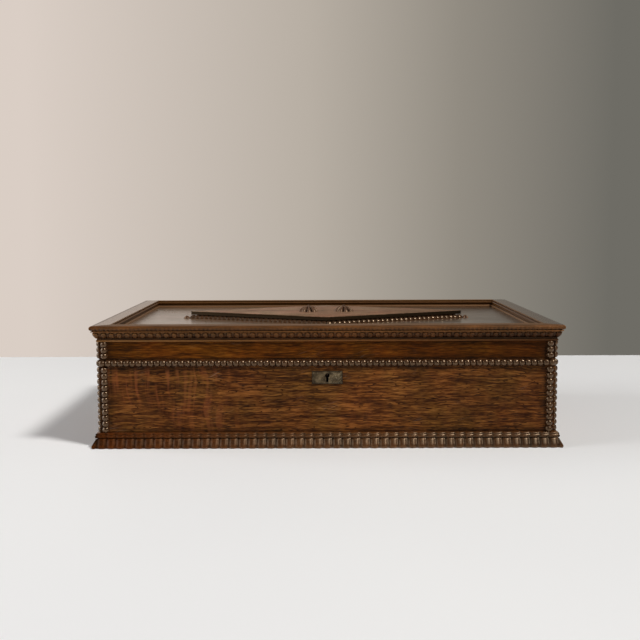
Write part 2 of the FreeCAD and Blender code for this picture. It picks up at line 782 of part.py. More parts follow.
def bar(body, radius, reach, z, start, length):
    """A round bead along the moulding, added to its face."""
    bead = body.newObject("PartDesign::AdditiveCylinder", body.Name + "_bar")
    bind(bead, Radius=radius, Height=length)
    attach(bead, body, "YZ_Plane", -reach, z, start)
    body.Tip = bead
    return bead


# plinth: the foot slopes out to a nosing and turns in at its toe, and the
# torus lies on a quirk
foot_top = size("foot_height")
torus_low = foot_top + size("quirk_height")
torus_middle = torus_low + size("torus_radius")
torus_high = torus_middle + size("torus_radius")
torus_centre = size("torus_reach") - size("torus_radius")
plinths = []
for side in SIDES:
    plinth, half_run, start, end, low, high = moulding(f"plinth_{side}_stock", side, [
        (ZERO, ZERO), (size("foot_toe_reach"), ZERO), (size("foot_reach"), size("foot_nosing")),
        (size("foot_neck_reach"), foot_top), (size("quirk_reach"), foot_top),
        (size("quirk_reach"), torus_low), (torus_centre, torus_low),
        (torus_centre, torus_high), (ZERO, torus_high),
    ], size("foot_reach"))
    bar(plinth, size("torus_radius"), torus_centre, torus_middle, start, end - start)
    mitre(plinth, half_run, size("foot_reach"), ZERO, low, high)
    count = rounded((end - start) / size("ripple_pitch"))
    pitch = (end - start) / count
    foot_waves = wave_cutter(
        f"foot_waves_{side}", side, (size("foot_reach"), size("foot_nosing")),
        (size("foot_neck_reach"), foot_top), size("foot_ripple_depth"), start, pitch, count)
    torus_waves = wave_cutter(
        f"torus_waves_{side}", side, (size("torus_reach"), torus_low),
        (size("torus_reach"), torus_high), size("torus_ripple_depth"), start, pitch, count)
    plinths.append(cut(f"plinth_{side}", plinth, [foot_waves, torus_waves]))

# cornice: fillet, groove, and the sloping band with its row of rounds
cornices = []
fillet_top = rail_top + size("fillet_height")
groove_top = fillet_top + size("groove_height")
for side in SIDES:
    cornice, half_run, start, end, low, high = moulding(f"cornice_{side}", side, [
        (ZERO, rail_top), (size("fillet_reach"), rail_top), (size("fillet_reach"), fillet_top),
        (size("groove_reach"), fillet_top), (size("groove_reach"), groove_top),
        (size("rounds_foot_reach"), groove_top), (size("rounds_reach"), cornice_top),
        (ZERO, cornice_top),
    ], size("rounds_reach"))
    mitre(cornice, half_run, size("rounds_reach"), ZERO, low, high)
    count = rounded((end - start) / size("rounds_pitch"))
    pitch = (end - start) / count
    round_gouge = gouge(
        cornice, size("rounds_gouge_radius"), (size("rounds_foot_reach"), groove_top),
        (size("rounds_reach"), cornice_top), size("rounds_gouge_depth"), start + pitch,
        ZERO, overrun)
    repeat(cornice, [round_gouge], count - 1, pitch)
    cornices.append(cornice)

# border of the lid: flat band with a rounded nose over the cornice
rim_frames = []
nose_centre = size("nose_reach") - size("nose_radius")
nose_middle = nose_bottom + size("nose_radius")
band = size("band_inset")
for side in SIDES:
    frame, half_run, start, end, low, high = moulding(f"rim_frame_{side}", side, [
        (-band, panel_top), (ZERO, panel_top), (ZERO, cornice_top),
        (size("undercut_reach"), cornice_top), (size("undercut_reach"), nose_bottom),
        (nose_centre, nose_bottom), (nose_centre, rim_top), (-band, rim_top),
    ], size("nose_reach"), band)
    bar(frame, size("nose_radius"), nose_centre, nose_middle, start, end - start)
    mitre(frame, half_run, size("nose_reach"), band, low, high)
    rim_frames.append(frame)

# inner moulding of the border, mitred at its four corners; the back one is
# wider and lies flush with the back of the box
inner_rise = rim_top - panel_top
inner_width = size("inner_moulding_width")
inner_section = [
    (inner_width * along if along else ZERO, panel_top + inner_rise * up)
    for along, up in INNER_MOULDING_SHARES
]
inner_half_width = half_width - band
inner_front = band - half_depth
inner_back = half_depth - size("back_band_width")
inner_half_depth = (inner_back - inner_front) / 2
inner_middle_y = (inner_back + inner_front) / 2
INNER_SIDES = {
    "front": (FRONT, inner_half_width, ZERO, inner_front),
    "left": (LEFT, inner_half_depth, -inner_half_width, inner_middle_y),
    "right": (RIGHT, inner_half_depth, inner_half_width, inner_middle_y),
    "back": (Rotation(Vector(0, 0, 1), 2 * QUARTER_TURN), inner_half_width, ZERO, inner_back),
}
inner_mouldings = []
for side, (rotation, half_run, x, y) in INNER_SIDES.items():
    body = new_body(f"inner_moulding_{side}")
    section = list(inner_section)
    if side == "back":
        section[0] = (-size("back_band_width"), panel_top)
        section[-1] = (-size("back_band_width"), rim_top)
    pad(body, outline(body, "YZ_Plane", section, -half_run), half_run * 2)
    for sign in (-1, 1):
        near = (half_run - inner_width - overrun) * sign
        far = (half_run + overrun) * sign
        pocket_through(body, outline(body, "XY_Plane", [
            (half_run * sign, ZERO), (far, ZERO), (far, inner_width + overrun),
            (near, inner_width + overrun),
        ]))
    place(body, x, y, ZERO, rotation)
    inner_mouldings.append(body)


# Split turned beads
def bead_strip(name, length, corners=(), radius=size("bead_radius")):
    """Split turned beads: flat back on y = 0, rounds towards -Y, run along X.
    Each corner is (sign, ratio): a mitre at the start or the end of the run,
    whose bisector climbs by the ratio across the strip's inner half."""
    body = new_body(name)
    count = rounded(length / size("bead_pitch"))
    pitch = length / count
    neck = root(radius * radius - pitch * pitch / 4)
    half = pitch / 2
    sketch = body.newObject("Sketcher::SketchObject", name + "_profile")
    attach(sketch, body, "XZ_Plane", x=half)
    turn = math.atan2(neck.number, half.number)
    circle = Part.Circle(Vector(0, 0, 0), Vector(0, 0, 1), radius.number)
    sketch.addGeometry(Part.ArcOfCircle(circle, turn, math.pi - turn), False)
    left, right = -half.number, half.number
    lines = [(left, neck.number, left, 0), (left, 0, right, 0), (right, 0, right, neck.number)]
    for x1, y1, x2, y2 in lines:
        sketch.addGeometry(Part.LineSegment(Vector(x1, y1, 0), Vector(x2, y2, 0)), False)
    for first, first_end, second, second_end in ((0, 2, 1, 1), (1, 2, 2, 1), (2, 2, 3, 1),
                                                 (3, 2, 0, 1)):
        sketch.addConstraint(Sketcher.Constraint("Coincident", first, first_end,
                                                 second, second_end))
    sketch.addConstraint(Sketcher.Constraint("Coincident", 0, 3, -1, 1))
    number = sketch.addConstraint(Sketcher.Constraint("Radius", 0, radius.number))
    sketch.setExpression(f"Constraints[{number}]", radius.formula)
    sketch.addConstraint(Sketcher.Constraint("Vertical", 1))
    sketch.addConstraint(Sketcher.Constraint("Vertical", 3))
    hold_point(sketch, 2, 1, -half, ZERO)
    hold_point(sketch, 2, 2, half, ZERO)
    bead = body.newObject("PartDesign::Revolution", name + "_bead")
    bead.Profile = sketch
    bead.ReferenceAxis = (origin_feature(body, "X_Axis"), [""])
    bead.Angle = 2 * QUARTER_TURN
    repeat(body, [bead], count, pitch)
    for at_end, ratio in corners:
        corner = length if at_end else ZERO
        side = 1 if at_end else -1
        reach = radius + overrun
        run = reach * ratio
        pocket_through(body, outline(body, "XZ_Plane", [
            (corner, ZERO), (corner - run * side, reach), (corner + overrun * side, reach),
            (corner + overrun * side, ZERO),
        ]))
    return body


def turned(rotation):
    """A strip stood upright on the side that faces the given way."""
    return rotation.multiply(UP)


# row under the lid joint
row_z = case_top - size("bead_row_drop")
bead_reach = size("bead_radius") + size("bead_clearance")
rim_beads = []
for side, (rotation, half_run, x, y) in SIDES.items():
    strip = bead_strip(f"rim_beads_{side}", half_run * 2)
    if side == "front":
        place(strip, -half_run, y, row_z, rotation)
    else:
        place(strip, x, -half_run if side == "right" else half_run, row_z, rotation)
    rim_beads.append(strip)

# upright strips at the corners of the case and of the lid
column_low = torus_high
column_high = row_z - bead_reach
column_step = half_width - size("bead_column_inset")
side_step = half_depth - size("bead_column_inset")


def columns(name, side, low, high):
    """Two upright strips near the two ends of one side."""
    rotation, half_run, x, y = SIDES[side]
    strips = []
    for end, sign in (("near", -1), ("far", 1)):
        strip = bead_strip(f"{name}_{end}", high - low)
        step = column_step if side == "front" else side_step
        if side == "front":
            place(strip, step * sign, y, low, turned(rotation))
        else:
            place(strip, x, step * sign, low, turned(rotation))
        strips.append(strip)
    return group(name, strips)


corner_beads = [columns(f"corner_beads_{side}", side, column_low, column_high)
                for side in SIDES]
lid_corner_beads = [columns(f"lid_corner_beads_{side}", side, lid_bottom, rail_top)
                    for side in SIDES]

# Lozenge
long_half = size("lozenge_half_width")
short_half = size("lozenge_half_depth")
edge_length = root(long_half * long_half + short_half * short_half)
middle_y = size("lozenge_back_shift")


def rhombus(inset):
    """Corners of the lozenge, drawn in from the bead line by the given width."""
    along = long_half - inset * edge_length / short_half
    across_way = short_half - inset * edge_length / long_half
    return [(-along, ZERO), (ZERO, -across_way), (along, ZERO), (ZERO, across_way)]


# the board: a core that the beads lie against, and a slab that covers them
lozenge_board = new_body("lozenge_board")
lozenge_bead = size("lozenge_bead_radius")
slab_low = panel_top + lozenge_bead + size("lozenge_slab_gap")
lozenge_top = panel_top + size("lozenge_thickness")
core_outline = rhombus(lozenge_bead + size("bead_clearance"))
pad(lozenge_board, outline(lozenge_board, "XY_Plane", core_outline, panel_top),
    slab_low - panel_top)
pad(lozenge_board, outline(lozenge_board, "XY_Plane", rhombus(ZERO), slab_low),
    lozenge_top - slab_low)
place(lozenge_board, ZERO, middle_y, ZERO)

edge_angle = math.degrees(math.atan2(short_half.number, long_half.number))
tip_ratio = long_half / short_half
apex_ratio = short_half / long_half
LOZENGE_EDGES = {
    "front_left": (-long_half, ZERO, -1, (tip_ratio, apex_ratio), 0),
    "front_right": (ZERO, -short_half, 1, (apex_ratio, tip_ratio), 0),
    "back_right": (long_half, ZERO, -1, (tip_ratio, apex_ratio), 2 * QUARTER_TURN),
    "back_left": (ZERO, short_half, 1, (apex_ratio, tip_ratio), 2 * QUARTER_TURN),
}
lozenge_beads = []
for name, (x, y, lean, ratios, turn) in LOZENGE_EDGES.items():
    strip = bead_strip(f"lozenge_beads_{name}", edge_length,
                       ((False, ratios[0]), (True, ratios[1])), lozenge_bead)
    holder = Rotation(Vector(0, 0, 1), turn + lean * edge_angle).multiply(
        Rotation(Vector(1, 0, 0), -QUARTER_TURN))
    place(strip, x, middle_y + y, panel_top, holder)
    lozenge_beads.append(strip)


# clusters of lobes beyond the two tips of the lozenge
def dome(name, radius, x, y, z):
    ball = document.addObject("Part::Sphere", name)
    ball.Angle1 = 0
    bind(ball, Radius=radius)
    return place(ball, x, y, z)


tip_radius = size("tip_cluster_radius")
lobe_step = (tip_radius - size("tip_lobe_radius") - size("tip_lobe_inset")) / math.sqrt(2)
tip_x = long_half + tip_radius + size("tip_clearance")
tips = []
for side, sign in (("left", -1), ("right", 1)):
    base = rod(f"tip_base_{side}", tip_radius, size("tip_base_thickness"),
               tip_x * sign, middle_y, panel_top)
    tip_z = panel_top + size("tip_base_thickness")
    lobes = [
        dome(f"tip_lobe_{side}_{number}", size("tip_lobe_radius"),
             tip_x * sign + lobe_step * a, middle_y + lobe_step * b, tip_z)
        for number, (a, b) in enumerate(((-1, -1), (1, -1), (1, 1), (-1, 1)), start=1)
    ]
    heart = dome(f"tip_heart_{side}", size("tip_heart_radius"), tip_x * sign, middle_y, tip_z)
    tips.append(join(f"tip_cluster_{side}", [base, heart] + lobes))
tip_ornaments = group("lozenge_tip_ornaments", tips)

# carved bosses: a low dome cut into petals round a heart
boss_radius = size("boss_radius")
boss_height = size("boss_height")
dome_radius = (boss_radius * boss_radius + boss_height * boss_height) / (boss_height * 2)
dome_centre = boss_height - dome_radius
petal_count = rounded(boss_radius * (2 * math.pi) / size("boss_petal_width"))
groove_inner = size("boss_groove_inner")
groove_inner_z = dome_centre + root(dome_radius * dome_radius - groove_inner * groove_inner)
boss = new_body("boss_right")
crown = boss.newObject("PartDesign::AdditiveSphere", "boss_crown")
bind(crown, Radius=dome_radius)
attach(crown, boss, "XY_Plane", ZERO, ZERO, dome_centre)
under = boss.newObject("PartDesign::SubtractiveBox", "boss_under")
bind(under, Length=dome_radius * 2, Width=dome_radius * 2, Height=dome_radius * 2)
attach(under, boss, "XY_Plane", -dome_radius, -dome_radius, -dome_radius * 2)
groove = gouge(boss, size("boss_groove_radius"), (boss_radius, ZERO),
               (groove_inner, groove_inner_z), size("boss_groove_depth"), ZERO, overrun, ZERO)
petals = boss.newObject("PartDesign::PolarPattern", "boss_petals")
petals.Originals = [groove]
petals.Axis = (origin_feature(boss, "Z_Axis"), [""])
petals.Angle = 4 * QUARTER_TURN
bind(petals, Occurrences=petal_count)
heart = boss.newObject("PartDesign::AdditiveSphere", "boss_heart")
bind(heart, Radius=size("boss_heart_radius"))
attach(heart, boss, "XY_Plane", ZERO, ZERO,
       boss_height - size("boss_heart_radius") * BOSS_HEART_SUNK_SHARE)
boss.Tip = heart
place(boss, size("boss_half_spacing"), -size("boss_forward_shift"), lozenge_top)
second_boss = document.addObject("Part::Mirroring", "boss_left")
second_boss.Source = boss
second_boss.Normal = Vector(1, 0, 0)
carved_bosses = group("carved_bosses", [second_boss, boss])

# Output
NODES = [
    bottom_board, front_board, back_board, side_board_left, side_board_right,
    *plinths, *rim_beads, *corner_beads, escutcheon, escutcheon_pins, lock_case, lock_cap,
    lock_key_pin, lock_screws, *case_leaves, hinge_pins, hinge_screws_case, case_nails,
    lock_bolt, bolt_hooks, spring_body,
    lid_front_rail, lid_back_rail, lid_side_rail_left, lid_side_rail_right, lid_panel,
    *cornices, *rim_frames, *inner_mouldings, *lid_corner_beads, lozenge_board,
    *lozenge_beads, tip_ornaments, carved_bosses, keeper_plate, keeper_staples,
    keeper_screws, *lid_leaves, hinge_screws_lid, lid_nails,
]
document.recompute()
failed = [piece.Name for piece in document.Objects
          if "Invalid" in piece.State or "Error" in piece.State]
if failed:
    raise RuntimeError(f"these objects failed: {failed}")
for piece in NODES:
    shape = piece.Shape
    if shape.isNull() or not shape.isValid() or not shape.Solids:
        raise RuntimeError(f"{piece.Label} has no valid solid")
os.makedirs("parts", exist_ok=True)
for piece in NODES:
    piece.Shape.exportStep(f"parts/{piece.Label}.step")
    print(piece.Label, len(piece.Shape.Solids), round(piece.Shape.Volume, 2))
print(len(NODES), "nodes")
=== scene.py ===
import math
import random

import bmesh
import bpy
from mathutils import Matrix, Vector


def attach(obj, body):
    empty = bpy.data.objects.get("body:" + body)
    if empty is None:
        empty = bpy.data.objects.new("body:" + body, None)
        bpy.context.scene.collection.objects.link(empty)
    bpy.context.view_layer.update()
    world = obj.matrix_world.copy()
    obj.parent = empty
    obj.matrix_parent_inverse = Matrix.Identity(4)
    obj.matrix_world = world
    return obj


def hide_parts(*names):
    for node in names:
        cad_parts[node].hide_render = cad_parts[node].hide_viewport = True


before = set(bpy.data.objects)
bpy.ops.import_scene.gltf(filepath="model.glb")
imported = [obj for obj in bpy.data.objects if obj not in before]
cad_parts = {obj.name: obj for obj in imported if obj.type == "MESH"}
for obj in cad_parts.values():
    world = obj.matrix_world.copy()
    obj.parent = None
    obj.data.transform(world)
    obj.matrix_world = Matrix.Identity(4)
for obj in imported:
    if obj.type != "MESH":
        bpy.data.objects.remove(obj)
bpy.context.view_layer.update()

# Sizes of the box in millimetres, in the frame of the carcase: the front looks
# along -Y, the middle of the footprint is the origin.
MM = 0.001
HALF_WIDTH = 270.5
HALF_DEPTH = 185
HALF_SPAN = 280
MOULDING_REACH = 9.5
PLINTH_TOP = 18
LID_BOTTOM = 106.6
RAIL_TOP = 127.5
PANEL_TOP = 136.5
CORNICE_TOP = 138.2
RIM_TOP = 146.7
BAND_INSET = 11.8
LOZENGE_TOP = 146.3
BEAD_RADIUS = 4.4
BEAD_NECK = 1.7
ROW_HEIGHT = 101.3
COLUMN_INSET = 6.3
COLUMN_TOP = 96.7
LOZENGE_MIDDLE = (0, 4)
LOZENGE_HALVES = (185, 90)
LOZENGE_BEAD_RADIUS = 4.6
LOZENGE_BEAD_NECK = 2.8

# Where shade is painted on the boards beside the parts that shade them: it fades out over each
# pair of places
SHADE_OVER_PLINTH = (18, 26)
SHADE_UNDER_ROW = (90.5, 96.5)
SHADE_OVER_JOINT = (107.3, 109)
SHADE_BY_COLUMNS_X = (251.5, 260)
SHADE_BY_COLUMNS_Y = (166, 174.5)
FRONT_FACE = 184.6
FLANK_FACE = 270.1
# The bare wood: half the width and depth of the inside, its floor and its ceiling
INSIDE_X = 256.8
INSIDE_Y = 171.2
INSIDE_FLOOR = 9.9
INSIDE_CEILING = 127.55

chance = random.Random(1680)


# Materials. A pattern's scale is 1000 over its size in millimetres.
def from_hex(code):
    """An sRGB hex colour as linear light."""
    channels = [int(code[start:start + 2], 16) / 255 for start in (1, 3, 5)]
    return [c / 12.92 if c <= 0.04045 else ((c + 0.055) / 1.055) ** 2.4
            for c in channels] + [1]


def add(tree, kind, links=None, out=0, stops=None, **settings):
    """Adds a node with its settings and links, and gives one of its outputs."""
    made = tree.nodes.new("ShaderNode" + kind)
    for name, value in settings.items():
        setattr(made, name, value)
    for socket, value in (links or {}).items():
        if isinstance(value, bpy.types.NodeSocket):
            tree.links.new(value, made.inputs[socket])
        else:
            made.inputs[socket].default_value = value
    if stops:
        ramp = made.color_ramp
        while len(ramp.elements) < len(stops):
            ramp.elements.new(1)
        for element, (position, colour) in zip(ramp.elements, stops):
            element.position = position
            element.color = from_hex(colour) if isinstance(colour, str) else [colour] * 3 + [1]
    return made.outputs[out]


def new_finish(name):
    """An empty material and its node tree."""
    material = bpy.data.materials.new(name)
    material.use_nodes = True
    tree = material.node_tree
    tree.nodes.clear()
    return material, tree


def close_finish(tree, colour, roughness, normal, **fixed):
    """Ends a finish in its shader; the sockets named in fixed keep plain values."""
    links = {"Base Color": colour, "Roughness": roughness, "Normal": normal}
    links.update({name.replace("_", " "): value for name, value in fixed.items()})
    surface = add(tree, "BsdfPrincipled", links)
    output = tree.nodes.new("ShaderNodeOutputMaterial")
    tree.links.new(surface, output.inputs["Surface"])


def grain_scale(run, long_mm, cross_mm):
    """Scale of a pattern stretched along the run of the grain."""
    return tuple(1000 / long_mm if axis == run else 1000 / cross_mm for axis in "XYZ")


def aged_oak(name, run, tones, figure=0.0, dust=0.08, gloss=0.42, coat=0.12, wear=0.3,
             creases=0.5, sweep=(1.0, 1.0, 1.0), relief_mm=0.22, shine=0.2):
    """Oak planed by hand, oiled and waxed for three hundred years: dark growth
    bands 2 to 10 mm apart, open pores, painted shade in the low places beside the mouldings, a
    dull sheen.
    The sweep gives its shade at the left end, the middle and the right end."""
    material, tree = new_finish(name)
    place = add(tree, "TexCoord", out=3)
    # the bands wander a few millimetres over a hand's width
    drift = add(tree, "TexNoise", {"Vector": place, "Scale": 1000 / 140, "Detail": 2.0}, out=1)
    centred = add(tree, "VectorMath", {0: drift, 1: (0.5, 0.5, 0.5)}, operation="SUBTRACT")
    across = tuple(0.0 if axis == run else 12 * MM for axis in "XYZ")
    shift = add(tree, "VectorMath", {0: centred, 1: across}, operation="MULTIPLY")
    wavy = add(tree, "VectorMath", {0: place, 1: shift})
    wide = add(tree, "VectorMath", {0: wavy, 1: grain_scale(run, 230, 10)}, operation="MULTIPLY")
    bands = add(tree, "TexNoise", {"Vector": wide, "Scale": 1.0, "Detail": 3.0,
                                   "Roughness": 0.6})
    narrow = add(tree, "VectorMath", {0: wavy, 1: grain_scale(run, 48, 2.2)},
                 operation="MULTIPLY")
    lines = add(tree, "TexNoise", {"Vector": narrow, "Scale": 1.0, "Detail": 4.0,
                                   "Roughness": 0.65})
    fine = add(tree, "VectorMath", {0: wavy, 1: grain_scale(run, 11, 0.9)},
               operation="MULTIPLY")
    fibres = add(tree, "TexNoise", {"Vector": fine, "Scale": 1.0, "Detail": 2.0,
                                    "Roughness": 0.5})
    mixed = add(tree, "Mix", {0: 0.7, 2: bands, 3: lines})
    mixed = add(tree, "Mix", {0: 0.34, 2: mixed, 3: fibres})
    colour = add(tree, "ValToRGB", {0: mixed}, stops=[
        (0.36, tones[0]), (0.46, tones[1]), (0.54, tones[2]), (0.66, tones[3])])
    # pores: dark dashes along the grain, drawn 0.5 mm wide so that they show
    pore_place = add(tree, "VectorMath", {0: wavy, 1: grain_scale(run, 9, 0.5)},
                     operation="MULTIPLY")
    pores = add(tree, "TexNoise", {"Vector": pore_place, "Scale": 1.0, "Detail": 1.0})
    pores = add(tree, "MapRange", {0: pores, 1: 0.62, 2: 0.72, 3: 0.0, 4: 1.0})
    early = add(tree, "MapRange", {0: lines, 1: 0.4, 2: 0.6, 3: 0.25, 4: 1.0})
    pores = add(tree, "Math", {0: pores, 1: early}, operation="MULTIPLY")
    colour = add(tree, "Mix", {0: add(tree, "Math", {0: pores, 1: 0.6}, operation="MULTIPLY"),
                               6: colour, 7: from_hex("#1a0f0a")}, out=2, data_type="RGBA")
    # late wood that stands out as thin dark creases, about 3 mm apart
    crease_place = add(tree, "VectorMath", {0: wavy, 1: grain_scale(run, 30, 3.8)},
                       operation="MULTIPLY")
    crease = add(tree, "TexNoise", {"Vector": crease_place, "Scale": 1.0, "Detail": 2.0,
                                    "Roughness": 0.45})
    crease = add(tree, "Math", {0: crease, 1: 0.5}, operation="SUBTRACT")
    crease = add(tree, "Math", {0: crease}, operation="ABSOLUTE")
    crease = add(tree, "MapRange", {0: crease, 1: 0.006, 2: 0.032, 3: 1.0, 4: 0.0})
    broken = add(tree, "MapRange", {0: lines, 1: 0.44, 2: 0.56, 3: 0.0, 4: creases})
    crease = add(tree, "Math", {0: crease, 1: broken}, operation="MULTIPLY")
    colour = add(tree, "Mix", {0: crease, 6: colour, 7: from_hex("#1c100a")}, out=2,
                 data_type="RGBA")
    if figure:
        # rays: red ribbons across the grain, 5 mm wide and 66 mm long, at the left end
        bend = add(tree, "TexNoise", {"Vector": place, "Scale": 1000 / 42, "Detail": 1.0}, out=1)
        bend = add(tree, "VectorMath", {0: bend, 1: (0.5, 0.5, 0.5)}, operation="SUBTRACT")
        bend = add(tree, "VectorMath", {0: bend, 1: (16 * MM, 16 * MM, 16 * MM)},
                   operation="MULTIPLY")
        bend = add(tree, "VectorMath", {0: place, 1: bend})
        bend = add(tree, "VectorMath", {0: bend, 1: grain_scale(run, 5.2, 66)},
                   operation="MULTIPLY")
        rays = add(tree, "TexNoise", {"Vector": bend, "Scale": 1.0, "Detail": 1.5})
        rays = add(tree, "MapRange", {0: rays, 1: 0.49, 2: 0.62, 3: 0.0, 4: 1.0})
        patch = add(tree, "TexNoise", {"Vector": place, "Scale": 1000 / 60, "Detail": 1.0})
        patch = add(tree, "MapRange", {0: patch, 1: 0.38, 2: 0.62, 3: 0.1, 4: 1.0})
        side = add(tree, "SeparateXYZ", {0: place})
        side = add(tree, "MapRange", {0: side, 1: -0.07, 2: -0.19, 3: 0.12, 4: 1.0})
        rays = add(tree, "Math", {0: rays, 1: patch}, operation="MULTIPLY")
        rays = add(tree, "Math", {0: rays, 1: side}, operation="MULTIPLY")
        rays = add(tree, "Math", {0: rays, 1: figure}, operation="MULTIPLY")
        colour = add(tree, "Mix", {0: rays, 6: colour, 7: from_hex("#9a5a36")}, out=2,
                     data_type="RGBA")
    # stains: broad darker clouds a hand wide
    cloud = add(tree, "TexNoise", {"Vector": place, "Scale": 1000 / 95, "Detail": 4.0,
                                   "Roughness": 0.6})
    cloud = add(tree, "MapRange", {0: cloud, 1: 0.35, 2: 0.65, 3: 0.8, 4: 1.12})
    colour = add(tree, "VectorMath", {0: colour, 3: cloud}, operation="SCALE")
    # old oil has turned some patches red and others olive
    hue = add(tree, "TexNoise", {"Vector": place, "Scale": 1000 / 34, "Detail": 2.0})
    hue = add(tree, "ValToRGB", {0: hue}, stops=[
        (0.36, "#f0f2e0"), (0.5, "#fbf4e8"), (0.62, "#fff0e4")])
    colour = add(tree, "VectorMath", {0: colour, 1: hue}, operation="MULTIPLY")
    length = add(tree, "SeparateXYZ", {0: place})
    length = add(tree, "MapRange", {0: length, 1: -HALF_SPAN * MM, 2: HALF_SPAN * MM, 3: 0.0,
                                    4: 1.0})
    length = add(tree, "ValToRGB", {0: length}, stops=[
        (0.0, sweep[0]), (0.5, sweep[1]), (1.0, sweep[2])])
    colour = add(tree, "VectorMath", {0: colour, 1: length}, operation="MULTIPLY")
    # painted shade beside the mouldings and the bead strips, for the shade they cast on the
    # boards: over the plinth, under the bead row, over the lid's joint and beside the corner
    # columns
    points = tree.nodes.new("ShaderNodeSeparateXYZ")
    tree.links.new(place, points.inputs[0])
    x, y, z = points.outputs
    side_x = add(tree, "Math", {0: x}, operation="ABSOLUTE")
    side_y = add(tree, "Math", {0: y}, operation="ABSOLUTE")
    low, high, joint, ends, backs = (
        add(tree, "MapRange", {0: along, 1: span[0] * MM, 2: span[1] * MM, 3: before, 4: after})
        for along, span, before, after in (
            (z, SHADE_OVER_PLINTH, 1.0, 0.0), (z, SHADE_UNDER_ROW, 0.0, 1.0),
            (z, SHADE_OVER_JOINT, 1.0, 0.0), (side_x, SHADE_BY_COLUMNS_X, 0.0, 1.0),
            (side_y, SHADE_BY_COLUMNS_Y, 0.0, 1.0)))
    front = add(tree, "Math", {0: side_y, 1: FRONT_FACE * MM}, operation="GREATER_THAN")
    flank = add(tree, "Math", {0: side_x, 1: FLANK_FACE * MM}, operation="GREATER_THAN")
    painted_shade = low
    for place_of_shade, limit in ((high, joint), (ends, front), (backs, flank)):
        limited = add(tree, "Math", {0: place_of_shade, 1: limit}, operation="MULTIPLY")
        painted_shade = add(tree, "Math", {0: painted_shade, 1: limited}, operation="MAXIMUM")
    shade_blotches = add(tree, "TexNoise", {"Vector": place, "Scale": 1000 / 16, "Detail": 3.0})
    shade_blotches = add(tree, "MapRange", {0: shade_blotches, 1: 0.3, 2: 0.7, 3: 0.4, 4: 1.2})
    painted_shade = add(tree, "Math", {0: painted_shade, 1: shade_blotches}, operation="MULTIPLY")
    painted_shade = add(tree, "Math", {0: painted_shade, 1: 0.65}, operation="MULTIPLY", use_clamp=True)
    colour = add(tree, "Mix", {0: painted_shade, 6: colour, 7: from_hex("#180d07")}, out=2,
                 data_type="RGBA")
    # inside, the wood was never waxed: paler, browner and dusty
    inside = add(tree, "Math", {0: z, 1: INSIDE_FLOOR * MM}, operation="GREATER_THAN")
    for along, limit in ((side_x, INSIDE_X), (side_y, INSIDE_Y), (z, INSIDE_CEILING)):
        within = add(tree, "Math", {0: along, 1: limit * MM}, operation="LESS_THAN")
        inside = add(tree, "Math", {0: inside, 1: within}, operation="MULTIPLY")
    bare = add(tree, "ValToRGB", {0: mixed}, stops=[
        (0.34, "#6b4a30"), (0.5, "#8c6644"), (0.66, "#a57d56")])
    colour = add(tree, "Mix", {0: inside, 6: colour, 7: bare}, out=2, data_type="RGBA")
    # a thin dry film lies on the wax and lifts the dark tones
    film = add(tree, "TexNoise", {"Vector": place, "Scale": 1000 / 7, "Detail": 5.0,
                                  "Roughness": 0.7})
    film = add(tree, "MapRange", {0: film, 1: 0.45, 2: 0.75, 3: 0.0, 4: dust})
    colour = add(tree, "Mix", {0: film, 6: colour, 7: from_hex("#7b6a5c")}, out=2,
                 data_type="RGBA")
    # scratches: pale hair lines, most of them nearly along the grain
    slant = add(tree, "Mapping", {0: place, 2: (0.0, 0.35, 0.0)})
    slant = add(tree, "VectorMath", {0: slant, 1: grain_scale(run, 70, 3)},
                operation="MULTIPLY")
    hair = add(tree, "TexVoronoi", {"Vector": slant, "Scale": 1.0}, feature="DISTANCE_TO_EDGE")
    hair = add(tree, "MapRange", {0: hair, 1: 0.0, 2: 0.035, 3: 1.0, 4: 0.0})
    rare = add(tree, "TexNoise", {"Vector": place, "Scale": 1000 / 30, "Detail": 2.0})
    rare = add(tree, "MapRange", {0: rare, 1: 0.55, 2: 0.7, 3: 0.0, 4: wear})
    hair = add(tree, "Math", {0: hair, 1: rare}, operation="MULTIPLY")
    colour = add(tree, "Mix", {0: hair, 6: colour, 7: from_hex("#a08672")}, out=2,
                 data_type="RGBA")
    rough = add(tree, "MapRange", {0: cloud, 1: 0.8, 2: 1.12, 3: gloss + 0.14, 4: gloss})
    rough = add(tree, "Math", {0: rough, 1: add(tree, "Math", {0: inside, 1: 0.25},
                                                operation="MULTIPLY")})
    relief = add(tree, "Math", {0: lines, 1: add(tree, "Math", {0: fibres, 1: 0.6},
                                                 operation="MULTIPLY")})
    relief = add(tree, "Math", {0: relief, 1: pores}, operation="SUBTRACT")
    normal = add(tree, "Bump", {"Strength": 0.55, "Distance": relief_mm * MM, "Height": relief})
    close_finish(tree, colour, rough, normal, Coat_Weight=coat, Coat_Roughness=0.22,
                 IOR=1.5, Specular_IOR_Level=shine, Specular_Tint=from_hex("#ffe6cb"))
    return material


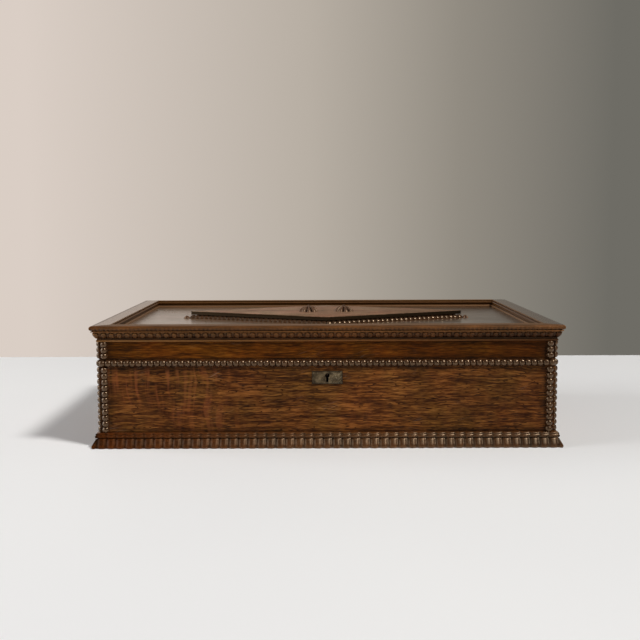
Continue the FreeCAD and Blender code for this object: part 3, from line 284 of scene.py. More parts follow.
def waxed_moulding(name, run, tones, gloss=0.3, coat=0.0, crumbs=0.25, relief_mm=0.12,
                   shine=0.5, sweep=(1.0, 1.0, 1.0), dry=0.0, members=None):
    """Oak mouldings and split turnings, stained nearly black and waxed: worn
    brown on the high places, black in the hollows, with crumbs of
    grey wax. The sweep gives their shade at the left end, the middle and the
    right end, and a dry left end shines less and more brown. Members are the
    colours of a profile from the lid's panel up to its border, with its quirks painted black as
    shade."""
    material, tree = new_finish(name)
    place = add(tree, "TexCoord", out=3)
    grain = add(tree, "VectorMath", {0: place, 1: grain_scale(run, 22, 1.1)},
                operation="MULTIPLY")
    lines = add(tree, "TexNoise", {"Vector": grain, "Scale": 1.0, "Detail": 3.0,
                                   "Roughness": 0.6})
    cloud = add(tree, "TexNoise", {"Vector": place, "Scale": 1000 / 38, "Detail": 3.0})
    mixed = add(tree, "Mix", {0: 0.5, 2: lines, 3: cloud})
    colour = add(tree, "ValToRGB", {0: mixed}, stops=[
        (0.36, tones[0]), (0.5, tones[1]), (0.64, tones[2])])
    # the members paint the lid's inner quirks black, as shade
    if members:
        up = add(tree, "SeparateXYZ", {0: place}, out=2)
        up = add(tree, "MapRange", {0: up, 1: PANEL_TOP * MM, 2: RIM_TOP * MM, 3: 0.0, 4: 1.0})
        up = add(tree, "ValToRGB", {0: up}, stops=members)
        colour = add(tree, "Mix", {0: 0.8, 6: colour, 7: up}, out=2, data_type="RGBA")
    # high places are rubbed to a lighter brown, hollows are darkened nearly to black
    curve = add(tree, "NewGeometry", out=7)
    rubbed = add(tree, "MapRange", {0: curve, 1: 0.5, 2: 0.58, 3: 0.0, 4: 0.55})
    hollow = add(tree, "MapRange", {0: curve, 1: 0.5, 2: 0.44, 3: 0.0, 4: 0.8})
    colour = add(tree, "Mix", {0: rubbed, 6: colour, 7: from_hex(tones[3])}, out=2,
                 data_type="RGBA")
    colour = add(tree, "Mix", {0: hollow, 6: colour, 7: from_hex("#140c08")}, out=2,
                 data_type="RGBA")
    # crumbs of old wax, half a millimetre to two across
    spots = add(tree, "TexNoise", {"Vector": place, "Scale": 1000 / 2.2, "Detail": 3.0,
                                   "Roughness": 0.7})
    spots = add(tree, "MapRange", {0: spots, 1: 0.56, 2: 0.7, 3: 0.0, 4: crumbs})
    colour = add(tree, "Mix", {0: spots, 6: colour, 7: from_hex("#8d7a66")}, out=2,
                 data_type="RGBA")
    length = add(tree, "SeparateXYZ", {0: place})
    length = add(tree, "MapRange", {0: length, 1: -HALF_SPAN * MM, 2: HALF_SPAN * MM, 3: 0.0,
                                    4: 1.0})
    shade = add(tree, "ValToRGB", {0: length}, stops=[
        (0.0, sweep[0]), (0.5, sweep[1]), (1.0, sweep[2])])
    colour = add(tree, "VectorMath", {0: colour, 1: shade}, operation="MULTIPLY")
    rough = add(tree, "MapRange", {0: spots, 1: 0.0, 2: crumbs, 3: gloss, 4: gloss + 0.3})
    tint = from_hex("#ffdcb4")
    if dry:
        dull = add(tree, "MapRange", {0: length, 1: 0.0, 2: 0.55, 3: dry, 4: 0.0})
        rough = add(tree, "Math", {0: rough, 1: dull})
        tint = add(tree, "ValToRGB", {0: length}, stops=[(0.0, "#86542c"), (0.6, "#ffdcb4")])
    height = add(tree, "Mix", {0: 0.4, 2: lines, 3: spots})
    normal = add(tree, "Bump", {"Strength": 0.6, "Distance": relief_mm * MM, "Height": height})
    close_finish(tree, colour, rough, normal, Coat_Weight=coat, Coat_Roughness=0.22,
                 IOR=1.5, Specular_IOR_Level=shine, Specular_Tint=tint)
    return material


def worn_brass(name):
    """Sheet brass, filed and engraved by hand, gone olive grey with scratches
    that show the paler metal."""
    material, tree = new_finish(name)
    place = add(tree, "TexCoord", out=3)
    cloud = add(tree, "TexNoise", {"Vector": place, "Scale": 1000 / 6, "Detail": 4.0})
    colour = add(tree, "ValToRGB", {0: cloud}, stops=[
        (0.35, "#3b3123"), (0.5, "#5c4d38"), (0.66, "#7b6a4f")])
    slant = add(tree, "Mapping", {0: place, 2: (0.0, 0.7, 0.0)})
    slant = add(tree, "VectorMath", {0: slant, 1: (1000 / 9, 1000 / 9, 1000 / 0.9)},
                operation="MULTIPLY")
    hair = add(tree, "TexVoronoi", {"Vector": slant, "Scale": 1.0}, feature="DISTANCE_TO_EDGE")
    hair = add(tree, "MapRange", {0: hair, 1: 0.0, 2: 0.06, 3: 1.0, 4: 0.0})
    right = add(tree, "SeparateXYZ", {0: place})
    right = add(tree, "MapRange", {0: right, 1: -0.004, 2: 0.016, 3: 0.1, 4: 0.65})
    hair = add(tree, "Math", {0: hair, 1: right}, operation="MULTIPLY")
    colour = add(tree, "Mix", {0: hair, 6: colour, 7: from_hex("#c4b798")}, out=2,
                 data_type="RGBA")
    # old polish has gathered in a dark line along the edges of the plate
    points = tree.nodes.new("ShaderNodeSeparateXYZ")
    tree.links.new(place, points.inputs[0])
    aside = add(tree, "Math", {0: points.outputs[0]}, operation="ABSOLUTE")
    aside = add(tree, "MapRange", {0: aside, 1: 0.0166, 2: 0.0178, 3: 0.0, 4: 0.85})
    up = add(tree, "Math", {0: points.outputs[2], 1: 0.084}, operation="SUBTRACT")
    up = add(tree, "Math", {0: up}, operation="ABSOLUTE")
    up = add(tree, "MapRange", {0: up, 1: 0.0062, 2: 0.0074, 3: 0.0, 4: 0.85})
    edge = add(tree, "Math", {0: aside, 1: up}, operation="MAXIMUM")
    colour = add(tree, "Mix", {0: edge, 6: colour, 7: from_hex("#2b2116")}, out=2,
                 data_type="RGBA")
    rough = add(tree, "MapRange", {0: cloud, 1: 0.35, 2: 0.66, 3: 0.5, 4: 0.34})
    height = add(tree, "Math", {0: cloud, 1: hair}, operation="SUBTRACT")
    normal = add(tree, "Bump", {"Strength": 0.5, "Distance": 0.08 * MM, "Height": height})
    close_finish(tree, colour, rough, normal, Metallic=0.85)
    return material


def forged_iron(name, tones, roughness, rust):
    """Iron hammered and filed by hand, or spring steel ground smooth: a grey skin
    with fine pits, some of them rusty."""
    material, tree = new_finish(name)
    place = add(tree, "TexCoord", out=3)
    cloud = add(tree, "TexNoise", {"Vector": place, "Scale": 1000 / 9, "Detail": 4.0})
    colour = add(tree, "ValToRGB", {0: cloud}, stops=[
        (0.35, tones[0]), (0.5, tones[1]), (0.66, tones[2])])
    pits = add(tree, "TexNoise", {"Vector": place, "Scale": 1000 / 1.3, "Detail": 3.0})
    pits = add(tree, "MapRange", {0: pits, 1: 0.54, 2: 0.66, 3: 0.0, 4: rust})
    colour = add(tree, "Mix", {0: pits, 6: colour, 7: from_hex("#4d2f1d")}, out=2,
                 data_type="RGBA")
    rough = add(tree, "MapRange", {0: cloud, 1: 0.35, 2: 0.66, 3: roughness + 0.1,
                                   4: roughness})
    height = add(tree, "Math", {0: cloud, 1: pits}, operation="SUBTRACT")
    normal = add(tree, "Bump", {"Strength": 0.6, "Distance": 0.15 * MM, "Height": height})
    close_finish(tree, colour, rough, normal, Metallic=0.9)
    return material


FRONT_TONES = ("#1f0f07", "#4b2912", "#825226", "#b0763e")
FRIEZE_TONES = ("#241004", "#482608", "#6e3c0e", "#925a1c")
LID_TONES = ("#4c3828", "#6d5745", "#8b7462", "#ac947f")
PLATEAU_TONES = ("#50392a", "#795d4b", "#a68672", "#d2b39c")
BORDER_TONES = ("#2c1b10", "#48301f", "#5c402c", "#785a3f")
MOULD_TONES = ("#180d04", "#38200c", "#5c3714", "#8c5c2c")
CORNICE_TONES = ("#26140a", "#4c2c16", "#764a26", "#a0703e")
NOSE_TONES = ("#2c180c", "#4e2d15", "#714420", "#9a6434")
BOSS_TONES = ("#2b1a12", "#4a3123", "#664836", "#82604a")
BEAD_TONES = ("#0e0704", "#1f1108", "#382010", "#5e3c22")
EDGE_TONES = ("#120c06", "#241a0e", "#3a2a18", "#4a3824")
# the mouldings inside the lid's border: a low fillet like the panel, a quirk painted black as
# shade, a worn round, a dark line painted as shade in the small quirk, and the upright face
INNER_MEMBERS = ((0.0, "#8a7462"), (0.2, "#8a7462"), (0.26, "#0c0704"), (0.5, "#0c0704"),
                 (0.55, "#40291a"), (0.74, "#4a3020"), (0.78, "#0c0704"), (0.83, "#0c0704"),
                 (0.87, "#332820"), (1.0, "#433629"))

# quarter sawn oak, planed and oiled: dull, ribbed by the grain, ruddy rays at the left
front_oak = aged_oak("quarter_sawn_oak_front", "X", FRONT_TONES, figure=0.5, dust=0.03,
                     creases=1.0, sweep=(0.83, 0.87, 0.6), coat=0.0, gloss=0.45, shine=0.1)
side_oak = aged_oak("oiled_oak_sides", "Y", FRONT_TONES, coat=0.0, shine=0.1)
frieze_oak = aged_oak("oiled_oak_lid_rail", "X", FRIEZE_TONES, dust=0.0, creases=0.3,
                      sweep=(0.78, 0.84, 0.38), relief_mm=0.1, wear=0.15, coat=0.0, gloss=0.45,
                      shine=0.08)
frieze_side_oak = aged_oak("oiled_oak_lid_side_rails", "Y", FRIEZE_TONES, creases=0.3, coat=0.0,
                           shine=0.1)
# the lid's top is polished by hands and papers: its wax mirrors the wall at a flat angle, and
# its sweep paints that reflection as well, pale at the left end and dark at the right
lid_oak = aged_oak("waxed_oak_lid_top", "X", LID_TONES, gloss=0.25, coat=0.85, dust=0.2,
                   creases=0.3, relief_mm=0.06, shine=0.4,
                   sweep=("#ffffff", "#e4dfd6", "#6c5c48"))
plateau_oak = aged_oak("oiled_oak_lozenge_top", "X", PLATEAU_TONES, gloss=0.5, coat=0.0,
                       dust=0.15, creases=0.8, relief_mm=0.05, shine=0.25,
                       sweep=("#ffffff", "#f0e6dc", "#d0c2b2"))
# planed mouldings: waxed, worn to brown on their crests, dull where they lie deep
foot_x = waxed_moulding("waxed_oak_foot_long", "X", MOULD_TONES, gloss=0.36, shine=0.85,
                        sweep=("#dcac78", "#e8d8c8", "#b8a494"), dry=0.12)
moulding_x = waxed_moulding("waxed_oak_cornice_long", "X", CORNICE_TONES, gloss=0.36, shine=0.3,
                            sweep=("#ffffff", "#e6d6c6", "#826c5a"), crumbs=0.15)
moulding_y = waxed_moulding("waxed_oak_moulding_short", "Y", MOULD_TONES, gloss=0.3)
rim_x = waxed_moulding("waxed_oak_border_long", "X", NOSE_TONES, crumbs=0.15, gloss=0.36,
                       sweep=(0.86, 0.82, 0.82), shine=0.35)
band_x = waxed_moulding("waxed_oak_band_long", "X", BORDER_TONES, crumbs=0.2, gloss=0.5,
                        shine=0.12)
# the short borders' sweep paints their reflection of the wall: full tone on the left border,
# darker on the right one
rim_y = waxed_moulding("waxed_oak_border_short", "Y", BORDER_TONES, crumbs=0.2, gloss=0.26,
                       coat=0.5, sweep=("#ffffff", "#e6dacc", "#a08c74"))
inner_x = waxed_moulding("waxed_oak_inner_moulding_long", "X", MOULD_TONES, crumbs=0.1,
                         gloss=0.5, shine=0.12, members=INNER_MEMBERS)
inner_y = waxed_moulding("waxed_oak_inner_moulding_short", "Y", MOULD_TONES, crumbs=0.1,
                         gloss=0.4, shine=0.2, members=INNER_MEMBERS)
# turned beads: burnished on the lathe, so that each shows one small bright spot
beads_x = waxed_moulding("turned_oak_beads_long", "X", BEAD_TONES, gloss=0.26, crumbs=0.08,
                         relief_mm=0.012, shine=1.0)
beads_y = waxed_moulding("turned_oak_beads_short", "Y", BEAD_TONES, gloss=0.26, crumbs=0.08,
                         relief_mm=0.012, shine=1.0)
beads_z = waxed_moulding("turned_oak_beads_upright", "Z", BEAD_TONES, gloss=0.26, crumbs=0.08,
                         relief_mm=0.012, shine=1.0)
# a duller copy of the beads' finish, with more pale crumbs, stands in for the shade over the
# lozenge's left-hand strips: no bright spots show on them
shade_dulled_beads = waxed_moulding("dry_oak_beads_lozenge", "X", BEAD_TONES, gloss=0.5, crumbs=0.25,
                            relief_mm=0.03, shine=0.3)
carved_oak = waxed_moulding("carved_oak_bosses", "X", BOSS_TONES, gloss=0.4)
# the lozenge's edge is nearly black and takes almost no polish; its sweep paints shade on it,
# deepest towards the right end
black_edge = waxed_moulding("black_oak_lozenge_edge_painted_shade", "X", EDGE_TONES, gloss=0.45,
                            crumbs=0.1, shine=0.15, sweep=(1.0, 0.5, 0.12))
brass = worn_brass("engraved_sheet_brass")
iron = forged_iron("forged_iron", ("#1d1a18", "#332d29", "#4b443e"), 0.5, 0.6)
steel = forged_iron("tempered_spring_steel", ("#3a3a3a", "#565655", "#707070"), 0.34, 0.2)


# Meshes
def lay_piece(name, points, faces, material, body, slot, *nodes, smooth_to=38):
    """A piece from points in millimetres, which stands for the given nodes."""
    mesh = bpy.data.meshes.new(name)
    mesh.from_pydata([Vector(p) * MM for p in points], [], faces)
    shape = bmesh.new()
    shape.from_mesh(mesh)
    bmesh.ops.remove_doubles(shape, verts=shape.verts, dist=0.000004)
    bmesh.ops.recalc_face_normals(shape, faces=shape.faces)
    for face in shape.faces:
        face.smooth = True
    limit = math.radians(smooth_to)
    for edge in shape.edges:
        edge.smooth = len(edge.link_faces) == 2 and edge.calc_face_angle(0) < limit
    shape.to_mesh(mesh)
    shape.free()
    mesh.materials.append(material)
    piece = bpy.data.objects.new(name, mesh)
    bpy.context.scene.collection.objects.link(piece)
    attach(piece, body)
    if nodes:
        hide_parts(*nodes)
    return piece


def skin(rings, around):
    """Faces of a closed tube of rings of points, with a face over each end."""
    faces = []
    for ring in range(rings - 1):
        for turn in range(around):
            after = (turn + 1) % around
            faces.append((ring * around + turn, ring * around + after,
                          (ring + 1) * around + after, (ring + 1) * around + turn))
    last = (rings - 1) * around
    faces.append(tuple(range(around)))
    faces.append(tuple(last + turn for turn in reversed(range(around))))
    return faces


def join(parts):
    """Several (points, faces) as one."""
    points, faces = [], []
    for part_points, part_faces in parts:
        base = len(points)
        points += part_points
        faces += [tuple(base + corner for corner in face) for face in part_faces]
    return points, faces


def side_point(side, run, reach, height):
    """A point of a moulding: along the side, out from its face, and up."""
    if side == "front":
        return (run, -HALF_DEPTH - reach, height)
    sign = 1 if side == "right" else -1
    return (sign * (HALF_WIDTH + reach), run, height)


def side_end(side, at_far_end, reach):
    """Where a moulding ends: on the mitre at a front corner, or flush at the back."""
    if side == "front":
        return (HALF_WIDTH + reach) * (1 if at_far_end else -1)
    return HALF_DEPTH if at_far_end else -HALF_DEPTH - reach


def run_moulding(name, side, section, stations, shape, material, body, slot, node):
    """Sweeps a closed section of (reach, height) along a side; shape moves each
    point of it at each station, and the ends are cut on the mitres."""
    points = []
    for run in stations:
        for place in section:
            reach, height = shape(run, *place)
            low = side_end(side, False, reach)
            high = side_end(side, True, reach)
            points.append(side_point(side, min(max(run, low), high), reach, height))
    return lay_piece(name, points, skin(len(stations), len(section)), material, body, slot,
                     node)


def run_stations(side, reach, count, steps):
    """The start and the pitch of a pattern that starts on the mitre, and the
    stations at its even steps."""
    start = side_end(side, False, reach)
    end = side_end(side, True, reach)
    pitch = (end - start) / count
    return start, pitch, [start + pitch * step / steps for step in range(count * steps + 1)]


SIDES = {"front": moulding_x, "left": moulding_y, "right": moulding_y}

# plinth: a foot that swells in upright ripples, a quirk and two rippled reeds;
# each point is (reach, height, weight of the ripples)
RIPPLES_OF_FOOT = {"front": 50, "left": 34, "right": 34}
FOOT_TOP = 11.9
FOOT_RIPPLE = 1.9
REED_RIPPLE = 1.1
FOOT = [(8.6, 0, 0.9), (9.2, 0.8, 1), (9.5, 2, 1), (9.4, 3.2, 1), (8.9, 4.4, 1),
        (8.2, 5.7, 1), (7.45, 7, 1), (6.7, 8.3, 0.95), (6, 9.5, 0.9), (5.4, 10.5, 0.85),
        (5, 11.1, 0.8), (4.5, 11.3, 0.7)]


def reed(centre_reach, centre_height, radius, low, high, steps=7):
    """Points of a rounded reed between two angles, with the weight of its ripples."""
    turns = [math.radians(low + (high - low) * step / steps) for step in range(steps + 1)]
    return [(centre_reach + radius * math.cos(turn), centre_height + radius * math.sin(turn),
             max(0, math.cos(turn)) ** 0.5) for turn in turns]


REEDS = reed(3.9, 14, 2, -88, 62) + reed(4, 16.75, 1.25, -55, 88)
for side, material in SIDES.items():
    start, pitch, stations = run_stations(side, MOULDING_REACH, RIPPLES_OF_FOOT[side], 12)

    def swell(run, reach, height, weight, start=start, pitch=pitch):
        turn = (run - start) / pitch
        valley = (0.5 - 0.5 * math.cos(2 * math.pi * turn)) ** 2
        depth = FOOT_RIPPLE if height < FOOT_TOP else REED_RIPPLE
        return reach - depth * weight * valley, height

    section = ([(0, 0, 0)] + FOOT + [(3.2, 11.4, 0), (3.2, 12, 0)] + REEDS
               + [(0, PLINTH_TOP, 0)])
    run_moulding(f"rippled_plinth_{side}", side, section, stations, swell,
                 foot_x if side == "front" else material, "case", "dark_oak_mouldings",
                 f"plinth_{side}")

# cornice: a fillet, a groove, and a row of oval rounds; each point is (reach, height,
# share of the rounds' height), and the share is below 0 where nothing is carved
ROUNDS = {"front": 60, "left": 41, "right": 41}
CORNICE_REACH = 7
ROUNDS_STEPS = 8
ROUND_TIP = 0.6
ROUND_HALF_WIDTH = 2.75
ROUND_DEPTH = 2.5
for side, material in SIDES.items():
    start, pitch, stations = run_stations(side, CORNICE_REACH, ROUNDS[side], 14)

    def carve(run, reach, height, up, start=start, pitch=pitch):
        if up < 0:
            return reach, height
        turn = (run - start) / pitch
        aside = abs(turn - math.floor(turn) - 0.5) * pitch
        half = ROUND_TIP + ROUND_HALF_WIDTH * math.sqrt(max(0, 1 - (2 * up - 1) ** 2))
        crown = max(0, 1 - (aside / half) ** 2) ** 0.4
        return reach - ROUND_DEPTH * (1 - crown), height

    section = [(0, RAIL_TOP, -1), (2.3, RAIL_TOP, -1), (2.5, RAIL_TOP + 0.2, -1),
               (2.5, 129.4, -1), (2.3, 129.6, -1), (1.6, 129.7, -1), (1.6, 131.4, -1)]
    for step in range(ROUNDS_STEPS + 1):
        up = step / ROUNDS_STEPS
        section.append((2.8 + 4.2 * math.sin(up * math.pi / 2) ** 0.9, 131.6 + 6.6 * up, up))
    section.append((0, CORNICE_TOP, -1))
    run_moulding(f"carved_cornice_{side}", side, section, stations, carve, material, "lid",
                 "dark_oak_mouldings", f"cornice_{side}")

# border of the lid: a flat band with a drawn groove and a rounded nose, rippled below,
# over a quirk and a thin fillet; each point is (reach, height, weight of the ripples)
RIPPLES_OF_NOSE = {"front": 110, "left": 76, "right": 76}
NOSE_RIPPLE = 0.7
for side, material in (("front", rim_x), ("left", rim_y), ("right", rim_y)):
    start, pitch, stations = run_stations(side, MOULDING_REACH, RIPPLES_OF_NOSE[side], 8)

    def ripple(run, reach, height, weight, start=start, pitch=pitch):
        turn = (run - start) / pitch
        valley = 0.5 - 0.5 * math.cos(2 * math.pi * turn)
        return reach - NOSE_RIPPLE * weight * valley, height

    nose = []
    for turn in range(-75, 91, 15):
        angle = math.radians(turn)
        nose.append((6.5 + 3 * math.cos(angle), 143.85 + 2.85 * math.sin(angle),
                     max(0, math.cos(angle + math.radians(48))) ** 2))
    section = [(-BAND_INSET, PANEL_TOP, 0), (0, PANEL_TOP, 0), (0, CORNICE_TOP, 0),
               (5.2, CORNICE_TOP, 0), (5.2, 139.2, 0), (7.6, 139.3, 0), (7.8, 139.5, 0),
               (7.8, 140.1, 0), (7.6, 140.3, 0), (6.2, 140.4, 0), (6.2, 140.9, 0)] + nose + [
        (5.6, RIM_TOP, 0), (5.3, RIM_TOP - 0.3, 0), (4.6, RIM_TOP - 0.3, 0),
        (4.3, RIM_TOP, 0), (-BAND_INSET, RIM_TOP, 0)]
    border = run_moulding(f"nosed_border_{side}", side, section, stations, ripple, material,
                          "lid", "dark_oak_mouldings", f"rim_frame_{side}")
    if side == "front":
        border.data.materials.append(band_x)
        for face in border.data.polygons:
            if face.normal.z > 0.99:
                face.material_index = 1

# split turned beads: each round is a little different, as the turner left it
BEADS_OF_ROW = {"front": 75, "left": 51, "right": 51}
BEAD_ALONG = 12
BEAD_AROUND = 12


def bead_strip(start, along, out, length, count, corners=(0, 0), widest=BEAD_RADIUS,
               neck=BEAD_NECK):
    """Points and faces of a strip; corners give the slope of each end's mitre."""
    start, along, out = Vector(start), Vector(along), Vector(out)
    across = along.cross(out)
    pitch = length / count
    rings = []
    for number in range(count):
        middle = (number + 0.5) * pitch
        radius = widest * chance.uniform(0.955, 1)
        lean = chance.uniform(-0.12, 0.12)
        for step in range(BEAD_ALONG + 1):
            angle = math.pi * (step / BEAD_ALONG - 0.5)
            if step == 0 and number:
                continue
            round_off = max(0.0, math.cos(angle)) ** 0.92
            shift = lean * math.cos(angle) ** 2
            rings.append((middle + pitch / 2 * math.sin(angle) + shift,
                          neck + (radius - neck) * round_off))
    points = []
    for place, radius in rings:
        for turn in range(BEAD_AROUND + 1):
            angle = math.pi * turn / BEAD_AROUND
            side = radius * math.cos(angle)
            run = place
            if side > 0 and corners[0]:
                run = max(run, side * corners[0])
            if side > 0 and corners[1]:
                run = min(run, length - side * corners[1])
            points.append(start + along * run + across * side + out * radius * math.sin(angle))
    return points, skin(len(rings), BEAD_AROUND + 1)


def lay_strips(name, strips, material, body, node):
    lay_piece(name, *join(strips), material, body, "turned_beads", node, smooth_to=70)


OUTWARD = {"front": (0, -1, 0), "left": (-1, 0, 0), "right": (1, 0, 0)}
for side, out in OUTWARD.items():
    if side == "front":
        row = bead_strip((-HALF_WIDTH, -HALF_DEPTH, ROW_HEIGHT), (1, 0, 0), out,
                         2 * HALF_WIDTH, BEADS_OF_ROW[side])
    else:
        row = bead_strip((out[0] * HALF_WIDTH, -HALF_DEPTH, ROW_HEIGHT), (0, 1, 0), out,
                         2 * HALF_DEPTH, BEADS_OF_ROW[side])
    lay_strips(f"turned_row_{side}", [row], beads_x if side == "front" else beads_y, "case",
               f"rim_beads_{side}")
    for body, low, high, count, node in (
            ("case", PLINTH_TOP, COLUMN_TOP, 11, f"corner_beads_{side}"),
            ("lid", LID_BOTTOM, RAIL_TOP, 3, f"lid_corner_beads_{side}")):
        strips = []
        for sign in (-1, 1):
            if side == "front":
                foot = (sign * (HALF_WIDTH - COLUMN_INSET), -HALF_DEPTH, low)
            else:
                foot = (out[0] * HALF_WIDTH, sign * (HALF_DEPTH - COLUMN_INSET), low)
            strips.append(bead_strip(foot, (0, 0, 1), out, high - low, count))
        lay_strips(f"turned_columns_{body}_{side}", strips, beads_z, body, node)

# lozenge: bead strips round its foot, mitred at the four corners
half_long, half_short = LOZENGE_HALVES
middle_x, middle_y = LOZENGE_MIDDLE
edge = math.hypot(half_long, half_short)
TIP_SLOPE = half_long / half_short
APEX_SLOPE = half_short / half_long
LOZENGE_EDGES = {
    "front_left": ((-half_long, 0), (0, -half_short), (TIP_SLOPE, APEX_SLOPE)),
    "front_right": ((0, -half_short), (half_long, 0), (APEX_SLOPE, TIP_SLOPE)),
    "back_right": ((half_long, 0), (0, half_short), (TIP_SLOPE, APEX_SLOPE)),
    "back_left": ((0, half_short), (-half_long, 0), (APEX_SLOPE, TIP_SLOPE)),
}
for name, (low, high, slopes) in LOZENGE_EDGES.items():
    along = Vector((high[0] - low[0], high[1] - low[1], 0)).normalized()
    # across = along x up points out of the lozenge, so the strip is laid reversed
    strip = bead_strip((middle_x + high[0], middle_y + high[1], PANEL_TOP), -along, (0, 0, 1),
                       edge, 29, (slopes[1], slopes[0]), LOZENGE_BEAD_RADIUS,
                       LOZENGE_BEAD_NECK)
    # the two left-hand strips take the copy of the beads' finish that stands in for their shade
    lay_strips(f"turned_lozenge_{name}", [strip],
               shade_dulled_beads if name.endswith("left") else beads_x, "lid",
               f"lozenge_beads_{name}")

# the raised board: a core behind the beads and a slab over them, black at its edge
BOARD_SECTION = [(4.8, PANEL_TOP), (4.8, 141.5), (0.3, 141.5), (0, 141.8), (0.2, 143.6),
                 (0, 145.8), (0.2, 146.15), (0.7, LOZENGE_TOP)]


def rhombus(inset, height):
    """The four corners of the lozenge at a height, drawn in from its edge."""
    along = half_long - inset * edge / half_short
    aside = half_short - inset * edge / half_long
    return [(middle_x - along, middle_y, height), (middle_x, middle_y - aside, height),
            (middle_x + along, middle_y, height), (middle_x, middle_y + aside, height)]


points = [point for inset, height in BOARD_SECTION for point in rhombus(inset, height)]
board = lay_piece("raised_lozenge_board", points, skin(len(BOARD_SECTION), 4), plateau_oak,
                  "lid", "dark_oak_mouldings", "lozenge_board", smooth_to=45)
board.data.materials.append(black_edge)
for face in board.data.polygons:
    if face.normal.z < 0.75:
        face.material_index = 1


# carved rosettes: the two bosses of the lozenge and the clusters at its tips
BOSS_X = 24
BOSS_Y = -3
TIP_GAP = 5.6


def rosette(x, y, z, radius, height, petals, heart, heart_height, turn=0.0, notch=0.14):
    """Points and faces of petals round a button, each with a vein down its middle."""
    rings, spokes = 22, petals * 12
    points, faces = [], []
    for ring in range(rings + 1):
        share = 1 - ring / rings
        for spoke in range(spokes):
            angle = 2 * math.pi * spoke / spokes
            petal = abs(math.cos(angle * petals / 2))
            edge_reach = radius * (1 - notch + notch * petal ** 0.6)
            reach = edge_reach * share
            crown = height * (1 - share ** 1.9) ** 0.6
            valley = (1 - petal ** 0.8) * min(1, share * 1.9) * height * 0.62
            vein = math.exp(-((1 - petal) * 9) ** 2) * height * 0.05 * share
            up = crown - valley - vein
            if reach < heart:
                button = heart_height * math.sqrt(max(0, 1 - (reach / heart) ** 2))
                up = max(up - height * 0.12, height * 0.8 + button)
            if ring == 0:
                up = 0
            points.append((x + reach * math.cos(angle + turn),
                           y + reach * math.sin(angle + turn), z + max(0, up)))
    for ring in range(rings):
        for spoke in range(spokes):
            after = (spoke + 1) % spokes
            faces.append((ring * spokes + spoke, ring * spokes + after,
                          (ring + 1) * spokes + after, (ring + 1) * spokes + spoke))
    faces.append(tuple(reversed(range(spokes))))
    return points, faces


def lay_rosettes(name, rosettes, node):
    lay_piece(name, *join(rosettes), carved_oak, "lid", "dark_oak_mouldings", node, smooth_to=60)


lay_rosettes("petalled_bosses", [
    rosette(sign * BOSS_X, BOSS_Y, LOZENGE_TOP, 13.5, 7.9, 9, 3.2, 2.2, turn=0.1 * sign)
    for sign in (-1, 1)], "carved_bosses")
tip_x = half_long + TIP_GAP
lay_rosettes("carved_tips", [
    rosette(sign * tip_x, middle_y, PANEL_TOP, 5, 3.4, 4, 1.7, 1.1, turn=math.pi / 4, notch=0.4)
    for sign in (-1, 1)], "lozenge_tip_ornaments")

# Boards, hinges and lock keep the shape of the frame, with softened arrises
KEPT = {
    front_oak: ("front_board", "back_board", "bottom_board"),
    side_oak: ("side_board_left", "side_board_right"),
    frieze_oak: ("lid_front_rail", "lid_back_rail"),
    frieze_side_oak: ("lid_side_rail_left", "lid_side_rail_right"),
    lid_oak: ("lid_panel",),
    inner_x: ("inner_moulding_front", "inner_moulding_back"),
    inner_y: ("inner_moulding_left", "inner_moulding_right"),
    brass: ("escutcheon", "escutcheon_pins"),
    iron: ("lock_case", "lock_cap", "lock_key_pin", "lock_screws", "lock_bolt", "bolt_hooks",
           "keeper_plate", "keeper_staples", "keeper_screws", "hinge_leaf_case_left",
           "hinge_leaf_case_right", "hinge_leaf_lid_left", "hinge_leaf_lid_right",
           "hinge_pins", "hinge_screws_case", "hinge_screws_lid", "case_nails", "lid_nails"),
    steel: ("lock_spring",),
}
ARRIS = {front_oak: 0.5, side_oak: 0.5, frieze_oak: 0.4, frieze_side_oak: 0.4, lid_oak: 0.5,
         inner_x: 0.35, inner_y: 0.35, brass: 0.25, iron: 0.2, steel: 0.1}
for material, names in KEPT.items():
    for name in names:
        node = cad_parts[name]
        node.data.materials.clear()
        node.data.materials.append(material)
        weld = node.modifiers.new("weld", "WELD")
        weld.merge_threshold = 0.00001
        arris = node.modifiers.new("arris", "BEVEL")
        arris.width = ARRIS[material] * MM
        arris.segments = 2
        arris.limit_method = "ANGLE"
        arris.angle_limit = math.radians(50)


# Table, wall and light
def stage_plane(name, corners, material):
    mesh = bpy.data.meshes.new(name)
    mesh.from_pydata(corners, [], [tuple(range(len(corners)))])
    mesh.materials.append(material)
    plane = bpy.data.objects.new(name, mesh)
    bpy.context.scene.collection.objects.link(plane)


table_paint, tree = new_finish("matt_white_table")
place = add(tree, "TexCoord", out=3)
cloud = add(tree, "TexNoise", {"Vector": place, "Scale": 1.5, "Detail": 2.0})
colour = add(tree, "ValToRGB", {0: cloud}, stops=[(0.3, "#f0f0f1"), (0.7, "#f4f4f4")])
fine = add(tree, "TexNoise", {"Vector": place, "Scale": 900.0, "Detail": 2.0})
normal = add(tree, "Bump", {"Strength": 0.1, "Distance": 0.0001, "Height": fine})
close_finish(tree, colour, 0.6, normal)
TABLE_BACK = 0.614
stage_plane("table", [(-5, -5, 0), (5, -5, 0), (5, TABLE_BACK, 0), (-5, TABLE_BACK, 0)],
            table_paint)

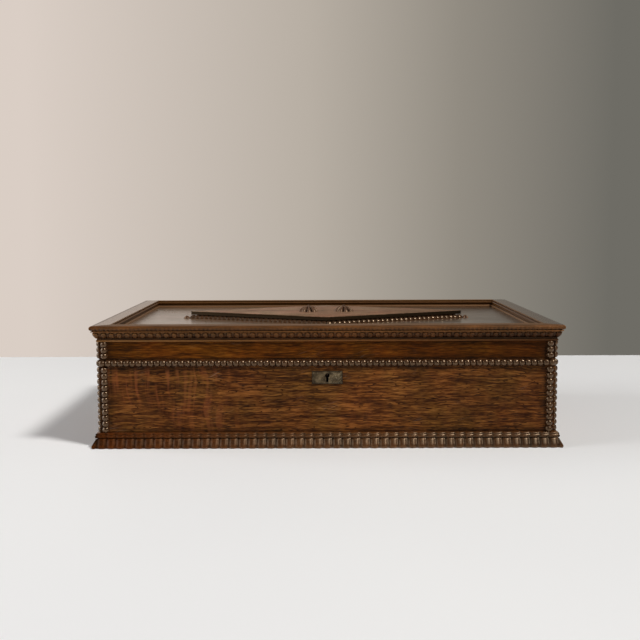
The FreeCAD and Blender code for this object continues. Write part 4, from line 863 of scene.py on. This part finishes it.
# the backdrop glows rather than being lit: its colour falls from pale at the left to dark at the
# right, in full to the camera and in reflections, and at 0.3 of that to other rays, so that it
# also lights the box a little
glowing_wall, tree = new_finish("studio_wall")
place = add(tree, "TexCoord", out=3)
points = tree.nodes.new("ShaderNodeSeparateXYZ")
tree.links.new(place, points.inputs[0])
along = add(tree, "MapRange", {0: points.outputs[0], 1: -1.5, 2: 1.5, 3: 0.0, 4: 1.0})
colour = add(tree, "ValToRGB", {0: along}, stops=[
    (0.077, "#dacec5"), (0.485, "#b7aea3"), (0.7, "#918b81"), (0.92, "#6e6c65")])
ray = tree.nodes.new("ShaderNodeLightPath")
seen = add(tree, "Math", {0: ray.outputs["Is Camera Ray"], 1: ray.outputs["Is Glossy Ray"]},
           operation="MAXIMUM")
seen = add(tree, "Math", {0: seen, 1: ray.outputs["Is Transmission Ray"]}, operation="MAXIMUM")
glow = add(tree, "MapRange", {0: seen, 1: 0.0, 2: 1.0, 3: 0.3, 4: 1.0})
glow = add(tree, "Emission", {"Color": colour, "Strength": glow})
output = tree.nodes.new("ShaderNodeOutputMaterial")
tree.links.new(glow, output.inputs["Surface"])
stage_plane("wall", [(-6, 3, -3), (6, 3, -3), (6, 3, 5), (-6, 3, 5)], glowing_wall)

world = bpy.data.worlds.new("studio")
bpy.context.scene.world = world
world.use_nodes = True
tree = world.node_tree
tree.nodes.clear()
ray = tree.nodes.new("ShaderNodeLightPath")
colour = add(tree, "Mix", {0: ray.outputs["Is Camera Ray"], 6: from_hex("#e0dfde"),
                           7: from_hex("#b4afa6")}, out=2, data_type="RGBA")
# the room before the box is dim: the polish mirrors little of it
level = add(tree, "MapRange", {0: ray.outputs["Is Glossy Ray"], 1: 0.0, 2: 1.0, 3: 0.11,
                               4: 0.1})
level = add(tree, "Math", {0: level, 1: ray.outputs["Is Camera Ray"]}, operation="MAXIMUM")
background = add(tree, "Background", {"Color": colour, "Strength": level})
output = tree.nodes.new("ShaderNodeOutputWorld")
tree.links.new(background, output.inputs["Surface"])


def lamp(name, place, target, size, watts, colour):
    data = bpy.data.lights.new(name, "AREA")
    data.shape = "RECTANGLE"
    data.size, data.size_y = size
    data.energy = watts
    data.color = from_hex(colour)[:3]
    light = bpy.data.objects.new(name, data)
    light.location = place
    light.rotation_euler = (Vector(target) - Vector(place)).to_track_quat("-Z", "Y").to_euler()
    bpy.context.scene.collection.objects.link(light)


lamp("key", (3.18, -2.59, 5.22), (0, 0, 0.08), (1.1, 1.1), 348, "#fffdfa")
lamp("reflector", (-3.0, -0.3, 1.3), (0, 0, 0.05), (2.6, 2.2), 66, "#fdfeff")

# Camera: at eye height of a seated viewer, a long lens, tipped down a little
camera_data = bpy.data.cameras.new("view")
camera_data.sensor_width = 36
camera_data.lens = 56.05
camera = bpy.data.objects.new("view", camera_data)
camera.location = (-0.0084, -1.3556, 0.2697)
camera.rotation_euler = (Matrix.Rotation(math.radians(90 - 5.72), 3, "X")
                         @ Matrix.Rotation(math.radians(-0.18), 3, "Z")).to_euler()
bpy.context.scene.collection.objects.link(camera)
bpy.context.scene.camera = camera
bpy.context.scene.view_settings.view_transform = "Standard"
